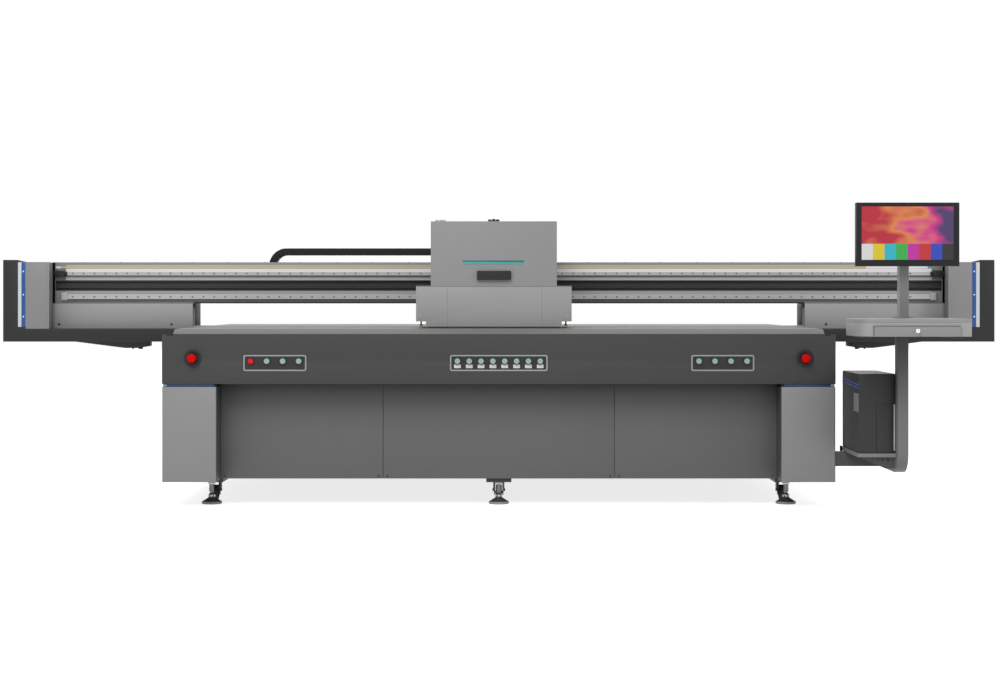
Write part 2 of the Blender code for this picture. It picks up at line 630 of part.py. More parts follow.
# ---- Gantry ----
def make_beam():
    """The gantry beam: a hollow extrusion with a cable trough in front and a chain shelf behind."""
    front, back = BEAM_FRONT, BEAM_BACK
    shelf = CHAIN_Y[1] + SHELF_LIP
    trough_back = front + TROUGH_DEPTH
    outline = [
        (front, BEAM_BOTTOM), (front, TROUGH[0]), (trough_back, TROUGH[0]), (trough_back, TROUGH[1]),
        (front, TROUGH[1]), (front, BEAM_TOP), (back, BEAM_TOP), (back, SHELF_TOP),
        (shelf - SHEET, SHELF_TOP), (shelf - SHEET, SHELF_TOP + 0.02),
        (shelf, SHELF_TOP + 0.02), (shelf, SHELF_TOP - 0.006),
        (back, SHELF_TOP - 0.006), (back, BEAM_BOTTOM),
    ]
    ends = (-BEAM_HALF_LENGTH, BEAM_HALF_LENGTH)
    beam = prism("gantry_beam", outline, "x", ends, "light_paint")
    hollow = box("beam_hollow", (ends[0] - 0.01, ends[1] + 0.01), (trough_back + BEAM_WALL, back - BEAM_WALL),
                 (BEAM_BOTTOM + BEAM_WALL, BEAM_TOP - BEAM_WALL))
    cut(beam, hollow)


def make_x_rails():
    """The two linear rails on the beam's face, which carry the carriage."""
    for name, (lo, hi) in (("x_rail_upper", UPPER_RAIL), ("x_rail_lower", LOWER_RAIL)):
        back, nose = BEAM_FRONT - SEAT, RAIL_FACE
        neck = 0.003
        outline = [
            (back, lo), (back, hi), (nose + 0.009, hi), (nose + 0.006, hi - neck), (nose + 0.003, hi),
            (nose, hi), (nose, lo), (nose + 0.003, lo), (nose + 0.006, lo + neck), (nose + 0.009, lo),
        ]
        prism(name, outline, "x", (-X_RAIL_HALF_LENGTH, X_RAIL_HALF_LENGTH), "rail_steel")


def make_gantry_ends():
    """On each side: the leg on its rail block, the end housing and the dark end cover with its arm."""
    for name, side in (("left", -1), ("right", 1)):
        leg = box(f"gantry_leg_{name}", across(side, LEG_INNER, BEAM_HALF_LENGTH), (RAIL_FACE, LEG_BACK),
                  (LEG_BOTTOM, BEAM_BOTTOM - SEAT), "light_paint")
        centre, half = side * RAIL_X, RAIL_WIDTH / 2
        reach = half + BLOCK_WALL
        block_bottom = FRAME_TOP + 0.008
        gap = RUNNING
        block = [
            (centre - reach, block_bottom), (centre - half - gap, block_bottom),
            (centre - half - gap, RAIL_TOP + gap), (centre + half + gap, RAIL_TOP + gap),
            (centre + half + gap, block_bottom), (centre + reach, block_bottom),
            (centre + reach, LEG_BOTTOM + 0.012), (centre - reach, LEG_BOTTOM + 0.012),
        ]
        weld(leg, prism(f"rail_block_{name}", block, "y", (RAIL_FACE + 0.01, LEG_BACK - 0.01)))
        saddle_x = across(side, RAIL_X - reach + 0.002, LEG_INNER + 0.02)
        weld(leg, box(f"saddle_{name}", saddle_x, (RAIL_FACE + 0.012, LEG_BACK - 0.012),
                      (LEG_BOTTOM + 0.002, LEG_BOTTOM + SADDLE_TOP)))
        box(f"end_housing_{name}", across(side, END_INNER, END_OUTER), (END_FRONT, END_BACK),
            (LEG_BOTTOM, END_COVER_TOP - 0.0115), "light_paint")
        edge = END_OUTER + SEAT
        outer = edge + END_COVER_WIDTH
        arm_inner = BASE_HALF + ARM_CLEARANCE
        outline = [
            (arm_inner, ARM_BOTTOM), (outer, ARM_BOTTOM), (outer, END_COVER_TOP), (edge, END_COVER_TOP),
            (edge, LEG_BOTTOM - SEAT), (arm_inner, LEG_BOTTOM - SEAT),
        ]
        cover = prism(f"end_cover_{name}", mirrored(outline, side), "y", (END_FRONT, END_BACK), "dark_paint")
        tip = ARM_BOTTOM - WEDGE_DROP
        wedge = [
            (outer - 0.325, ARM_BOTTOM + 0.004), (outer - 0.645, tip), (outer - 0.715, tip),
            (outer - 0.775, tip + 0.010), (outer - 0.775, ARM_BOTTOM + 0.004),
        ]
        wedge_y = (END_FRONT + 0.1, END_FRONT + 0.2)
        weld(cover, prism(f"arm_wedge_{name}", mirrored(wedge, side), "y", wedge_y))


def make_chain():
    """The cable chain: the run on the shelf, the travelling bend and the run to the carriage."""
    y, half = CHAIN_Y, CHAIN_HEIGHT / 2
    low = (CHAIN_LOW, CHAIN_LOW + CHAIN_HEIGHT)
    high = (CHAIN_HIGH, CHAIN_HIGH + CHAIN_HEIGHT)
    box("chain_lower_run", (CHAIN_BEND_X + SEAT, CHAIN_FIXED_X), y, low, "black_plastic")
    box("chain_upper_run", (CHAIN_BEND_X + SEAT, CHAIN_MOVING_X), y, high, "black_plastic")
    centre = (CHAIN_BEND_X, CHAIN_MIDDLE)
    outline = arc(centre, CHAIN_RADIUS + half, 90, 270, 12) + arc(centre, CHAIN_RADIUS - half, 270, 90, 12)
    prism("chain_bend", outline, "y", y, "black_plastic")


# ---- Carriage ----
def head_span(width):
    """A span of X centred on the print head."""
    return (HEAD_X - width / 2, HEAD_X + width / 2)


def make_carriage():
    """The slide plate with four bearing blocks, two lift guides and the chain bracket."""
    x = head_span(SLIDE_WIDTH)
    plate_z = (LOWER_RAIL[0] - 0.012, UPPER_RAIL[1] + 0.012)
    plate = box("carriage_frame", x, (SLIDE_FRONT, SLIDE_BACK), plate_z, "frame_paint")
    gap = RUNNING
    reach = BEAM_FRONT - 0.004
    for rail_name, (lo, hi) in (("upper", UPPER_RAIL), ("lower", LOWER_RAIL)):
        block = [
            (SLIDE_BACK - 0.005, lo - 0.009), (reach, lo - 0.009), (reach, lo - gap),
            (RAIL_FACE - gap, lo - gap), (RAIL_FACE - gap, hi + gap), (reach, hi + gap),
            (reach, hi + 0.009), (SLIDE_BACK - 0.005, hi + 0.009),
        ]
        for number, left in enumerate((x[0] + 0.01, x[1] - 0.01 - BLOCK_LENGTH)):
            weld(plate, prism(f"block_{rail_name}_{number}", block, "x", (left, left + BLOCK_LENGTH)))
    for number, left in enumerate((x[0] + 4 * GUIDE_WIDTH, x[1] - 5 * GUIDE_WIDTH)):
        weld(plate, box(f"guide_{number}", (left, left + GUIDE_WIDTH), (GUIDE_FRONT, SLIDE_FRONT + 0.005),
                        (LOWER_RAIL[0] - 0.011, UPPER_RAIL[1] + 0.011)))
    over_beam = BEAM_TOP + 0.008
    bracket_x = (CHAIN_MOVING_X + SEAT, HEAD_X + 0.10)
    riser_z = (UPPER_RAIL[1], over_beam + 0.01)
    weld(plate, box("bracket_riser", bracket_x, (SLIDE_FRONT + 0.004, SLIDE_BACK), riser_z))
    bridge_z = (over_beam, over_beam + 0.012)
    weld(plate, box("bracket_bridge", bracket_x, (SLIDE_FRONT + 0.004, CHAIN_Y[1]), bridge_z))
    weld(plate, box("bracket_end", bracket_x, CHAIN_Y, (over_beam + 0.002, CHAIN_HIGH + CHAIN_HEIGHT)))


def make_head():
    """The lifting print head: stepped shroud, top cover, head plate with its heads, two lamps."""
    y = (HEAD_FRONT, HEAD_BACK)
    half, step = SHROUD_WIDTH / 2, SHROUD_STEP
    wall = HEAD_WALL

    def stepped(inset, bottom, top):
        side, foot = half - inset, half - step - inset
        return [
            (HEAD_X - foot, bottom), (HEAD_X + foot, bottom), (HEAD_X + foot, SHROUD_STEP_TOP + inset),
            (HEAD_X + side, SHROUD_STEP_TOP + inset), (HEAD_X + side, top), (HEAD_X - side, top),
            (HEAD_X - side, SHROUD_STEP_TOP + inset), (HEAD_X - foot, SHROUD_STEP_TOP + inset),
        ]

    shroud = prism("carriage_shroud", stepped(0, HEAD_BOTTOM, SHROUD_TOP), "y", y, "light_paint")
    cut(shroud, prism("shroud_hollow", stepped(wall, HEAD_BOTTOM - 0.01, SHROUD_TOP + 0.01), "y",
                      (y[0] + wall, y[1] - wall)))

    cover_x = head_span(COVER_WIDTH)
    skirt = head_span(SHROUD_WIDTH)
    seat = SHROUD_TOP + SEAT
    cover = box("head_cover", cover_x, y, (seat, HEAD_TOP), "light_paint")
    weld(cover, box("cover_skirt", skirt, y, (seat, seat + wall)))
    cut(cover, box("cover_hollow", (cover_x[0] + wall, cover_x[1] - wall), (y[0] + wall, y[1] - wall),
                   (seat - 0.01, HEAD_TOP - wall)))

    inside = (HEAD_X - half + wall + SEAT, HEAD_X + half - wall - SEAT)
    head_y = (y[0] + wall + SEAT, y[1] - wall - SEAT)
    heads = box("print_heads", inside, head_y, HEAD_PLATE, "table_aluminium")
    pitch_x, pitch_y = 0.14, 0.22
    for row in range(HEAD_ROWS):
        for column in range(HEAD_COLUMNS):
            middle_x = HEAD_X + (column - (HEAD_COLUMNS - 1) / 2) * pitch_x
            middle_y = (y[0] + y[1]) / 2 + (row - (HEAD_ROWS - 1) / 2) * pitch_y
            weld(heads, box(f"head_{row}_{column}", (middle_x - 0.035, middle_x + 0.035),
                            (middle_y - 0.08, middle_y + 0.08), (HEAD_BOTTOM + 0.002, HEAD_PLATE[1] + 0.03)))
    for name, side in (("left", -1), ("right", 1)):
        lamp_x = across(side, half - wall - 0.004 - LAMP_WIDTH, half - wall - 0.004)
        box(f"uv_lamp_{name}", (lamp_x[0] + HEAD_X, lamp_x[1] + HEAD_X), (y[0] + 0.15, y[1] - 0.15),
            (SHROUD_STEP_TOP + wall + 0.002, HEAD_PLATE[0] - SEAT), "black_plastic")


# ---- Operator's stand ----
def make_stand():
    """The welded stand: arm from the base, J-shaped column, computer tray and its gusset."""
    low, high = ARM_Z
    front, back = COLUMN_FRONT, COLUMN_FRONT + COLUMN_DEPTH
    bend = (front + BEND_RADIUS, low + BEND_RADIUS)
    depth = high - low
    end = ARM_BACK + 0.005
    outline = [
        (front, DESK_BOTTOM - SEAT), *arc(bend, BEND_RADIUS, 180, 270, 8), (end, low), (end, high),
        *arc((back + 0.03, high + 0.03), 0.03, 270, 180, 4), (back, DESK_BOTTOM - SEAT),
    ]
    column_x = (STAND_X - STAND_WIDTH / 2, STAND_X + STAND_WIDTH / 2)
    stand = prism("stand_column", outline, "x", column_x, "frame_paint")
    arm_x = (BASE_HALF + SEAT, column_x[0] + 0.01)
    weld(stand, box("stand_arm", arm_x, (ARM_BACK - depth, ARM_BACK), (low + 0.001, high - 0.001)))
    tray_bottom = high + TRAY_BOTTOM_RISE
    weld(stand, box("tray", (TRAY_LEFT, column_x[0] + 0.012), TRAY_Y, (tray_bottom, TRAY_TOP)))
    gusset = [
        (TRAY_LEFT + 0.002, tray_bottom + 0.002), (column_x[0] - GUSSET_FOOT, high - GUSSET_DROP),
        (column_x[0] + 0.01, high - GUSSET_DROP), (column_x[0] + 0.01, tray_bottom + 0.002),
    ]
    weld(stand, prism("gusset", gusset, "y", (TRAY_Y[0] + 0.02, TRAY_Y[0] + 0.026)))
    cap = (column_x[0] - 0.12, column_x[1] + 0.02)
    weld(stand, box("desk_plate", cap, (front + 0.002, POST_Y[1]), (DESK_BOTTOM - 0.008, DESK_BOTTOM - SEAT)))


def make_computer():
    """The desktop computer that stands on the tray."""
    left = TRAY_LEFT + PC_INSET
    tower = box("computer", (left, left + PC_WIDTH), (TRAY_Y[0], TRAY_Y[0] + PC_DEPTH),
                (TRAY_TOP + SEAT, TRAY_TOP + SEAT + PC_HEIGHT), "frame_paint")
    edges = tower.modifiers.new("rounded_edges", "BEVEL")
    edges.width = 0.006
    edges.segments = 2


def make_desk():
    """The desk with a rounded corner, hollow for the drawer."""
    (left, right), (front, back) = DESK_X, DESK_Y
    wide, deep = DESK_ROUND
    outline = [
        *[(left + wide * (1 + x), front + deep * (1 + y)) for x, y in arc((0, 0), 1, 180, 270, 12)],
        *arc((right - 0.02, front + 0.02), 0.02, 270, 360, 3), (right, back),
        *[(left + wide * (1 + x), back - deep * (1 - y)) for x, y in arc((0, 0), 1, 90, 180, 12)],
    ]
    desk = prism("desk", outline, "z", (DESK_BOTTOM, DESK_TOP), "black_plastic")
    hollow_x = (DRAWER_X[0] + 0.012 - DRAWER_FIT, DRAWER_X[1] - 0.012 + DRAWER_FIT)
    hollow_z = (DESK_BOTTOM + 0.006, DRAWER_FRONT_TOP - 0.002)
    cut(desk, box("drawer_space", hollow_x, (front - 0.01, front + DRAWER_DEPTH + 0.02), hollow_z))
    return hollow_x, hollow_z


def make_drawer(hollow_x, hollow_z):
    """The drawer: a tray behind its front, with a turned knob."""
    front, wall = DESK_Y[0], DRAWER_WALL
    x = (hollow_x[0] + RUNNING, hollow_x[1] - RUNNING)
    z = (hollow_z[0] + SEAT, hollow_z[1] - 0.004)
    face = front - SEAT
    origin = (sum(DRAWER_X) / 2, face, (z[0] + z[1]) / 2)
    front_z = (DESK_BOTTOM + 0.0005, DRAWER_FRONT_TOP)
    drawer = box("drawer", DRAWER_X, (face - DRAWER_FACE, face), front_z, "black_plastic", origin)
    weld(drawer, box("drawer_tray", x, (face - 0.002, front + DRAWER_DEPTH), z))
    cut(drawer, box("drawer_hollow", (x[0] + wall, x[1] - wall), (front + wall, front + DRAWER_DEPTH - wall),
                    (z[0] + wall, z[1] + 0.01)))
    knob_z = DESK_BOTTOM + 0.027
    length = KNOB_LENGTH
    profile = [
        (0, 0.002), (0.005, 0.002), (0.005, -length * 0.4), (KNOB_RADIUS, -length * 0.6),
        (KNOB_RADIUS, -length * 0.9), (KNOB_RADIUS * 0.7, -length), (0, -length),
    ]
    place = (STAND_X + KNOB_OFFSET, face - DRAWER_FACE + SEAT, knob_z)
    weld(drawer, turned("drawer_knob", profile, "y", place, segments=12, origin=(0, 0, 0)))


def make_monitor():
    """The post with its hinge ears and pin, and the monitor that tilts on them."""
    post = box("monitor_post", POST_X, POST_Y, (DESK_TOP + SEAT, TILT_Z + EAR_RADIUS), "frame_paint")
    ear = [
        (POST_Y[0] + 0.002, TILT_Z - EAR_RADIUS), (POST_Y[0] + 0.002, TILT_Z + EAR_RADIUS),
        *arc((TILT_Y, TILT_Z), EAR_RADIUS, 90, 270, 8),
    ]
    for number, left in enumerate((POST_X[0], POST_X[1] - EAR_THICKNESS)):
        weld(post, prism(f"ear_{number}", ear, "x", (left, left + EAR_THICKNESS)))
    reach = (POST_X[1] - POST_X[0]) / 2 - 0.002
    pin = [(0, -reach), (PIN_RADIUS, -reach), (PIN_RADIUS, reach), (0, reach)]
    centre = (sum(POST_X) / 2, TILT_Y, TILT_Z)
    weld(post, turned("tilt_pin", pin, "x", centre, segments=12, origin=(0, 0, 0)))

    back = TILT_Y - EAR_RADIUS - 0.006
    monitor = box("monitor", MONITOR_X, (back - MONITOR_DEPTH, back), MONITOR_Z, "black_plastic", centre)
    lug_x = (POST_X[0] + EAR_THICKNESS + SEAT, POST_X[1] - EAR_THICKNESS - SEAT)
    lug = [(back - 0.002, TILT_Z - EAR_RADIUS), *arc((TILT_Y, TILT_Z), EAR_RADIUS, 270, 450, 8),
           (back - 0.002, TILT_Z + EAR_RADIUS)]
    weld(monitor, prism("tilt_lug", lug, "x", lug_x))
    bore_radius = PIN_RADIUS + 0.0004
    bore = [(0, -0.02), (bore_radius, -0.02), (bore_radius, 0.02), (0, 0.02)]
    cut(monitor, turned("tilt_bore", bore, "x", centre, segments=12, origin=(0, 0, 0)))


def main():
    """Build the whole machine on its datum."""
    clear_scene()
    make_frame()
    make_wheels()
    make_table()
    make_buttons(make_fascia())
    make_covers()
    make_y_rails()
    make_blower()
    make_beam()
    make_x_rails()
    make_gantry_ends()
    make_chain()
    make_carriage()
    make_head()
    make_stand()
    make_computer()
    make_drawer(*make_desk())
    make_monitor()
    datum = bpy.data.objects.new("machine_datum", None)
    bpy.context.scene.collection.objects.link(datum)
    for obj in bpy.data.objects:
        if obj is not datum:
            obj.parent = datum
    datum.location.y = ORIGIN_Y


main()
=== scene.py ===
import json
import math

import bpy
from mathutils import Matrix, Vector

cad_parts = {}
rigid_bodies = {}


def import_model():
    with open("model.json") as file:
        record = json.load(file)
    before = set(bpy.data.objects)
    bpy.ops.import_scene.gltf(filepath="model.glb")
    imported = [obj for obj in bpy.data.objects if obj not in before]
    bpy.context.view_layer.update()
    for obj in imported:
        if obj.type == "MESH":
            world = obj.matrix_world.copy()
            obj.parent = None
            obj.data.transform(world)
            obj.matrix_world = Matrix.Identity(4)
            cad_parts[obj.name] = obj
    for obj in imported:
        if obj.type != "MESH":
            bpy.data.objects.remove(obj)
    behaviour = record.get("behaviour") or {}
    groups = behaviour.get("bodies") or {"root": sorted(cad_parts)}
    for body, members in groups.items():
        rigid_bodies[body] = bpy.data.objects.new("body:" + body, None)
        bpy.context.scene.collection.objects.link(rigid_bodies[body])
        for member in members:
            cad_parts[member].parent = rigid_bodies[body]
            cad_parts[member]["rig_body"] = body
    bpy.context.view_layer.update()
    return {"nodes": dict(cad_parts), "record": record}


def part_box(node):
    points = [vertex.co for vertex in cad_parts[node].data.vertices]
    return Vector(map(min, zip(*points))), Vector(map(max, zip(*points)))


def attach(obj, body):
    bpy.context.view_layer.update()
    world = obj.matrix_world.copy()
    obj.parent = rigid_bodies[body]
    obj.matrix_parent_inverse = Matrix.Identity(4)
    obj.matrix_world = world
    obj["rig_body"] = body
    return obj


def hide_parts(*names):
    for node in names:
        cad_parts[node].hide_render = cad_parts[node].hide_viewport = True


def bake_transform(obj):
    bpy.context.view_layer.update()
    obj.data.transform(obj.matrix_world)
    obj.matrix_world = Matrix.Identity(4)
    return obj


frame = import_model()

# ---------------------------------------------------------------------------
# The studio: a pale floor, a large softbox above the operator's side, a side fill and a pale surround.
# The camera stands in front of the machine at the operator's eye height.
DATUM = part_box("vacuum_table")[0].y  # Y of the table's front edge
CAMERA_DISTANCE = 9.5
CAMERA_HEIGHT = 1.023
FLOOR_SIZE = 60.0
FLOOR_SHADE = 0.80
BACKDROP_LIFT = 0.78


def camera_lift(nodes, links):
    """One where the camera, a mirror or a glass looks at a surface, nought for its light."""
    rays = nodes.new("ShaderNodeLightPath")
    first = nodes.new("ShaderNodeMath")
    first.operation = "MAXIMUM"
    links.new(rays.outputs["Is Camera Ray"], first.inputs[0])
    links.new(rays.outputs["Is Glossy Ray"], first.inputs[1])
    both = nodes.new("ShaderNodeMath")
    both.operation = "MAXIMUM"
    links.new(first.outputs[0], both.inputs[0])
    links.new(rays.outputs["Is Transmission Ray"], both.inputs[1])
    return both.outputs[0]


def soft_lamp(name, place, aim, size, power):
    """A square softbox that looks at a point."""
    light = bpy.data.lights.new(name, "AREA")
    light.shape = "SQUARE"
    light.size = size
    light.energy = power
    lamp = bpy.data.objects.new(name, light)
    bpy.context.scene.collection.objects.link(lamp)
    lamp.location = place
    lamp.rotation_euler = (Vector(aim) - Vector(place)).to_track_quat("-Z", "Y").to_euler()


bpy.ops.object.select_all(action="DESELECT")
bpy.ops.mesh.primitive_plane_add(size=FLOOR_SIZE, location=(0, 0, -0.001))
floor = bpy.context.object
floor.name = "studio_floor"
floor_paint = bpy.data.materials.new("studio_floor")
floor_paint.use_nodes = True
floor_nodes, floor_links = floor_paint.node_tree.nodes, floor_paint.node_tree.links
floor_shader = floor_nodes["Principled BSDF"]
floor_shader.inputs["Base Color"].default_value = (FLOOR_SHADE, FLOOR_SHADE, FLOOR_SHADE, 1)
floor_shader.inputs["Roughness"].default_value = 0.7
floor_glow = floor_nodes.new("ShaderNodeEmission")
floor_scale = floor_nodes.new("ShaderNodeMath")
floor_scale.operation = "MULTIPLY"
floor_scale.inputs[1].default_value = BACKDROP_LIFT
floor_links.new(camera_lift(floor_nodes, floor_links), floor_scale.inputs[0])
floor_links.new(floor_scale.outputs[0], floor_glow.inputs["Strength"])
floor_sum = floor_nodes.new("ShaderNodeAddShader")
floor_links.new(floor_shader.outputs[0], floor_sum.inputs[0])
floor_links.new(floor_glow.outputs[0], floor_sum.inputs[1])
floor_links.new(floor_sum.outputs[0], floor_nodes["Material Output"].inputs["Surface"])
floor.data.materials.append(floor_paint)

world = bpy.data.worlds.new("studio")
bpy.context.scene.world = world
world.use_nodes = True
air_nodes, air_links = world.node_tree.nodes, world.node_tree.links
air = air_nodes["Background"]
air.inputs["Color"].default_value = (1, 1, 1, 1)
AIR_LIGHT = 0.54
air_blend = air_nodes.new("ShaderNodeMapRange")
air_blend.inputs["To Min"].default_value = AIR_LIGHT
air_blend.inputs["To Max"].default_value = 1.0
air_links.new(camera_lift(air_nodes, air_links), air_blend.inputs["Value"])
air_links.new(air_blend.outputs[0], air.inputs["Strength"])

soft_lamp("key_softbox", (-2.0, DATUM - 5.5, 6.5), (0, DATUM + 0.5, 0.7), 4.0, 310)
soft_lamp("side_fill", (6.5, DATUM - 3.0, 3.5), (0, DATUM + 0.5, 0.8), 3.0, 70)

camera = bpy.data.objects.new("camera", bpy.data.cameras.new("camera"))
bpy.context.scene.collection.objects.link(camera)
camera.location = (0, DATUM - CAMERA_DISTANCE, CAMERA_HEIGHT)
camera.rotation_euler = (math.radians(90), 0, 0)
camera.data.lens = 69.26
camera.data.sensor_width = 36
camera.data.shift_x = 0.0012
camera.data.shift_y = -0.05
camera.data.clip_end = 100
bpy.context.scene.camera = camera
bpy.context.scene.view_settings.view_transform = "Standard"

# ---------------------------------------------------------------------------
# The welded base frame with its levelling feet: semi-gloss grey enamel over the welds, with the
# spray's fine skin. The feet stand on zinc plated stems with a lock nut on each.
FRAME_GREY = (0.050, 0.050, 0.054)
ZINC = (0.42, 0.42, 0.43)
BLACK_PLASTIC = (0.020, 0.020, 0.021)
PAD_RIM = (0.30, 0.30, 0.31)


def mottled(name, colour, roughness, metallic=0.0, drift=0.06, grain=900.0, relief=0.04,
            stretch=(1, 1, 1), coat=0.0, specular=0.5):
    """A finish whose shade, gloss and skin drift a little over the piece, as sprayed or moulded ones do."""
    made = bpy.data.materials.new(name)
    made.use_nodes = True
    nodes, links = made.node_tree.nodes, made.node_tree.links
    shader = nodes["Principled BSDF"]
    shader.inputs["Metallic"].default_value = metallic
    shader.inputs["Coat Weight"].default_value = coat
    shader.inputs["Specular IOR Level"].default_value = specular
    place = nodes.new("ShaderNodeTexCoord")
    turn = nodes.new("ShaderNodeMapping")
    turn.inputs["Scale"].default_value = stretch
    links.new(place.outputs["Object"], turn.inputs["Vector"])
    cloud = nodes.new("ShaderNodeTexNoise")
    cloud.inputs["Scale"].default_value = 2.3
    cloud.inputs["Detail"].default_value = 5.0
    links.new(turn.outputs["Vector"], cloud.inputs["Vector"])
    shade = nodes.new("ShaderNodeMix")
    shade.data_type = "RGBA"
    low = [channel * (1 - drift) for channel in colour]
    high = [min(1.0, channel * (1 + drift)) for channel in colour]
    shade.inputs[6].default_value = (*low, 1)
    shade.inputs[7].default_value = (*high, 1)
    links.new(cloud.outputs["Fac"], shade.inputs[0])
    links.new(shade.outputs[2], shader.inputs["Base Color"])
    skin = nodes.new("ShaderNodeTexNoise")
    skin.inputs["Scale"].default_value = grain
    skin.inputs["Detail"].default_value = 2.0
    links.new(turn.outputs["Vector"], skin.inputs["Vector"])
    gloss = nodes.new("ShaderNodeMapRange")
    gloss.inputs["To Min"].default_value = max(0.05, roughness - 0.07)
    gloss.inputs["To Max"].default_value = min(1.0, roughness + 0.07)
    links.new(skin.outputs["Fac"], gloss.inputs["Value"])
    links.new(gloss.outputs[0], shader.inputs["Roughness"])
    bump = nodes.new("ShaderNodeBump")
    bump.inputs["Strength"].default_value = relief
    bump.inputs["Distance"].default_value = 0.001
    links.new(skin.outputs["Fac"], bump.inputs["Height"])
    links.new(bump.outputs[0], shader.inputs["Normal"])
    return made


def recoat(node, material):
    """A CAD node keeps its shape and gets the real finish."""
    piece = frame["nodes"][node]
    piece.data.materials.clear()
    piece.data.materials.append(material)


def rod(name, centre, radius, length, axis="Z", sides=32, end="NGON"):
    """A round bar of a length along an axis, its place in its mesh."""
    turns = {"X": (0, math.radians(90), 0), "Y": (math.radians(90), 0, 0), "Z": (0, 0, 0)}
    bpy.ops.object.select_all(action="DESELECT")
    bpy.ops.mesh.primitive_cylinder_add(
        vertices=sides, radius=radius, depth=length, end_fill_type=end, location=centre, rotation=turns[axis]
    )
    bpy.ops.object.transform_apply(location=True, rotation=True, scale=True)
    piece = bpy.context.object
    piece.name = name
    return piece


def taken(piece):
    """Only this piece is selected, and the operators act on it."""
    bpy.ops.object.select_all(action="DESELECT")
    piece.select_set(True)
    bpy.context.view_layer.objects.active = piece


def changed(piece, kind, **settings):
    """A modifier that is applied at once."""
    taken(piece)
    modifier = piece.modifiers.new(kind.lower(), kind)
    for key, value in settings.items():
        setattr(modifier, key, value)
    bpy.ops.object.modifier_apply(modifier=modifier.name)
    return piece


def rounded(piece, width, segments=2):
    """Broken edges, as on folded sheet or turned stock."""
    return changed(piece, "BEVEL", width=width, segments=segments, limit_method="ANGLE",
                   angle_limit=math.radians(30))


def tube(name, centre, radius, length, wall, axis="Z", sides=32):
    """A ring or sleeve: an open bar whose wall grows inwards."""
    piece = rod(name, centre, radius, length, axis, sides, "NOTHING")
    return changed(piece, "SOLIDIFY", thickness=wall, offset=-1)


def joined(name, pieces):
    """Several meshes made into one piece."""
    bpy.ops.object.select_all(action="DESELECT")
    for piece in pieces:
        piece.select_set(True)
    bpy.context.view_layer.objects.active = pieces[0]
    bpy.ops.object.join()
    pieces[0].name = name
    return pieces[0]


SMOOTH_UP_TO = math.radians(35)


def fitted(piece, material, node):
    """The piece gets its finish and is fixed to what the CAD node is part of."""
    if not piece.data.materials:
        piece.data.materials.append(material)
    taken(piece)
    bpy.ops.object.shade_smooth_by_angle(angle=SMOOTH_UP_TO)
    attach(piece, frame["nodes"][node]["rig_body"])
    return piece


enamel = mottled("frame_enamel", FRAME_GREY, 0.42, grain=700, relief=0.08, specular=0.3)
zinc = mottled("zinc_plate", ZINC, 0.32, metallic=0.9, grain=400)
moulding = mottled("black_moulding", BLACK_PLASTIC, 0.48, grain=1200, relief=0.06, specular=0.25)
rim_paint = mottled("pad_rim", PAD_RIM, 0.5, grain=800)
recoat("base_frame", enamel)

NUT_HEIGHT = 0.012
for mount in frame["record"]["mounts"]:
    if not mount["name"].startswith("foot_"):
        continue
    x, y, _ = mount["pos_m"]
    name = mount["name"]
    rim = tube(f"{name}_rim", (x, y, 0.0065), 0.0505, 0.012, 0.004, sides=48)
    fitted(rounded(rim, 0.0012), rim_paint, "base_frame")
    turnings = [rod("ball_nut", (x, y, 0.0405), 0.0195, NUT_HEIGHT, sides=6)]
    turnings.append(rod("jam_nut", (x, y, 0.1045), 0.0195, NUT_HEIGHT, sides=6))
    for turn in range(17):
        turnings.append(rod("thread", (x, y, 0.056 + turn * 0.0025), 0.0108, 0.0014, sides=20))
    stem = joined(f"{name}_stem", turnings)
    fitted(rounded(stem, 0.0004, 1), zinc, "base_frame")

# ---------------------------------------------------------------------------
# Six casters behind the feet: black moulded wheels on steel axles in pressed forks, each under a
# swivel ring that is bolted to the foot plate.
TYRE_BLACK = (0.016, 0.016, 0.017)
HUB_GREY = (0.045, 0.045, 0.048)
tyre_rubber = mottled("tyre_rubber", TYRE_BLACK, 0.72, grain=600, relief=0.15)
hub_moulding = mottled("hub_moulding", HUB_GREY, 0.45, grain=900)


def block(name, low, high):
    """A block between two corners, its place in its mesh."""
    bpy.ops.object.select_all(action="DESELECT")
    middle = [(a + b) / 2 for a, b in zip(low, high)]
    size = [abs(b - a) for a, b in zip(low, high)]
    bpy.ops.mesh.primitive_cube_add(size=1, location=middle, scale=size)
    bpy.ops.object.transform_apply(location=True, rotation=True, scale=True)
    piece = bpy.context.object
    piece.name = name
    return piece


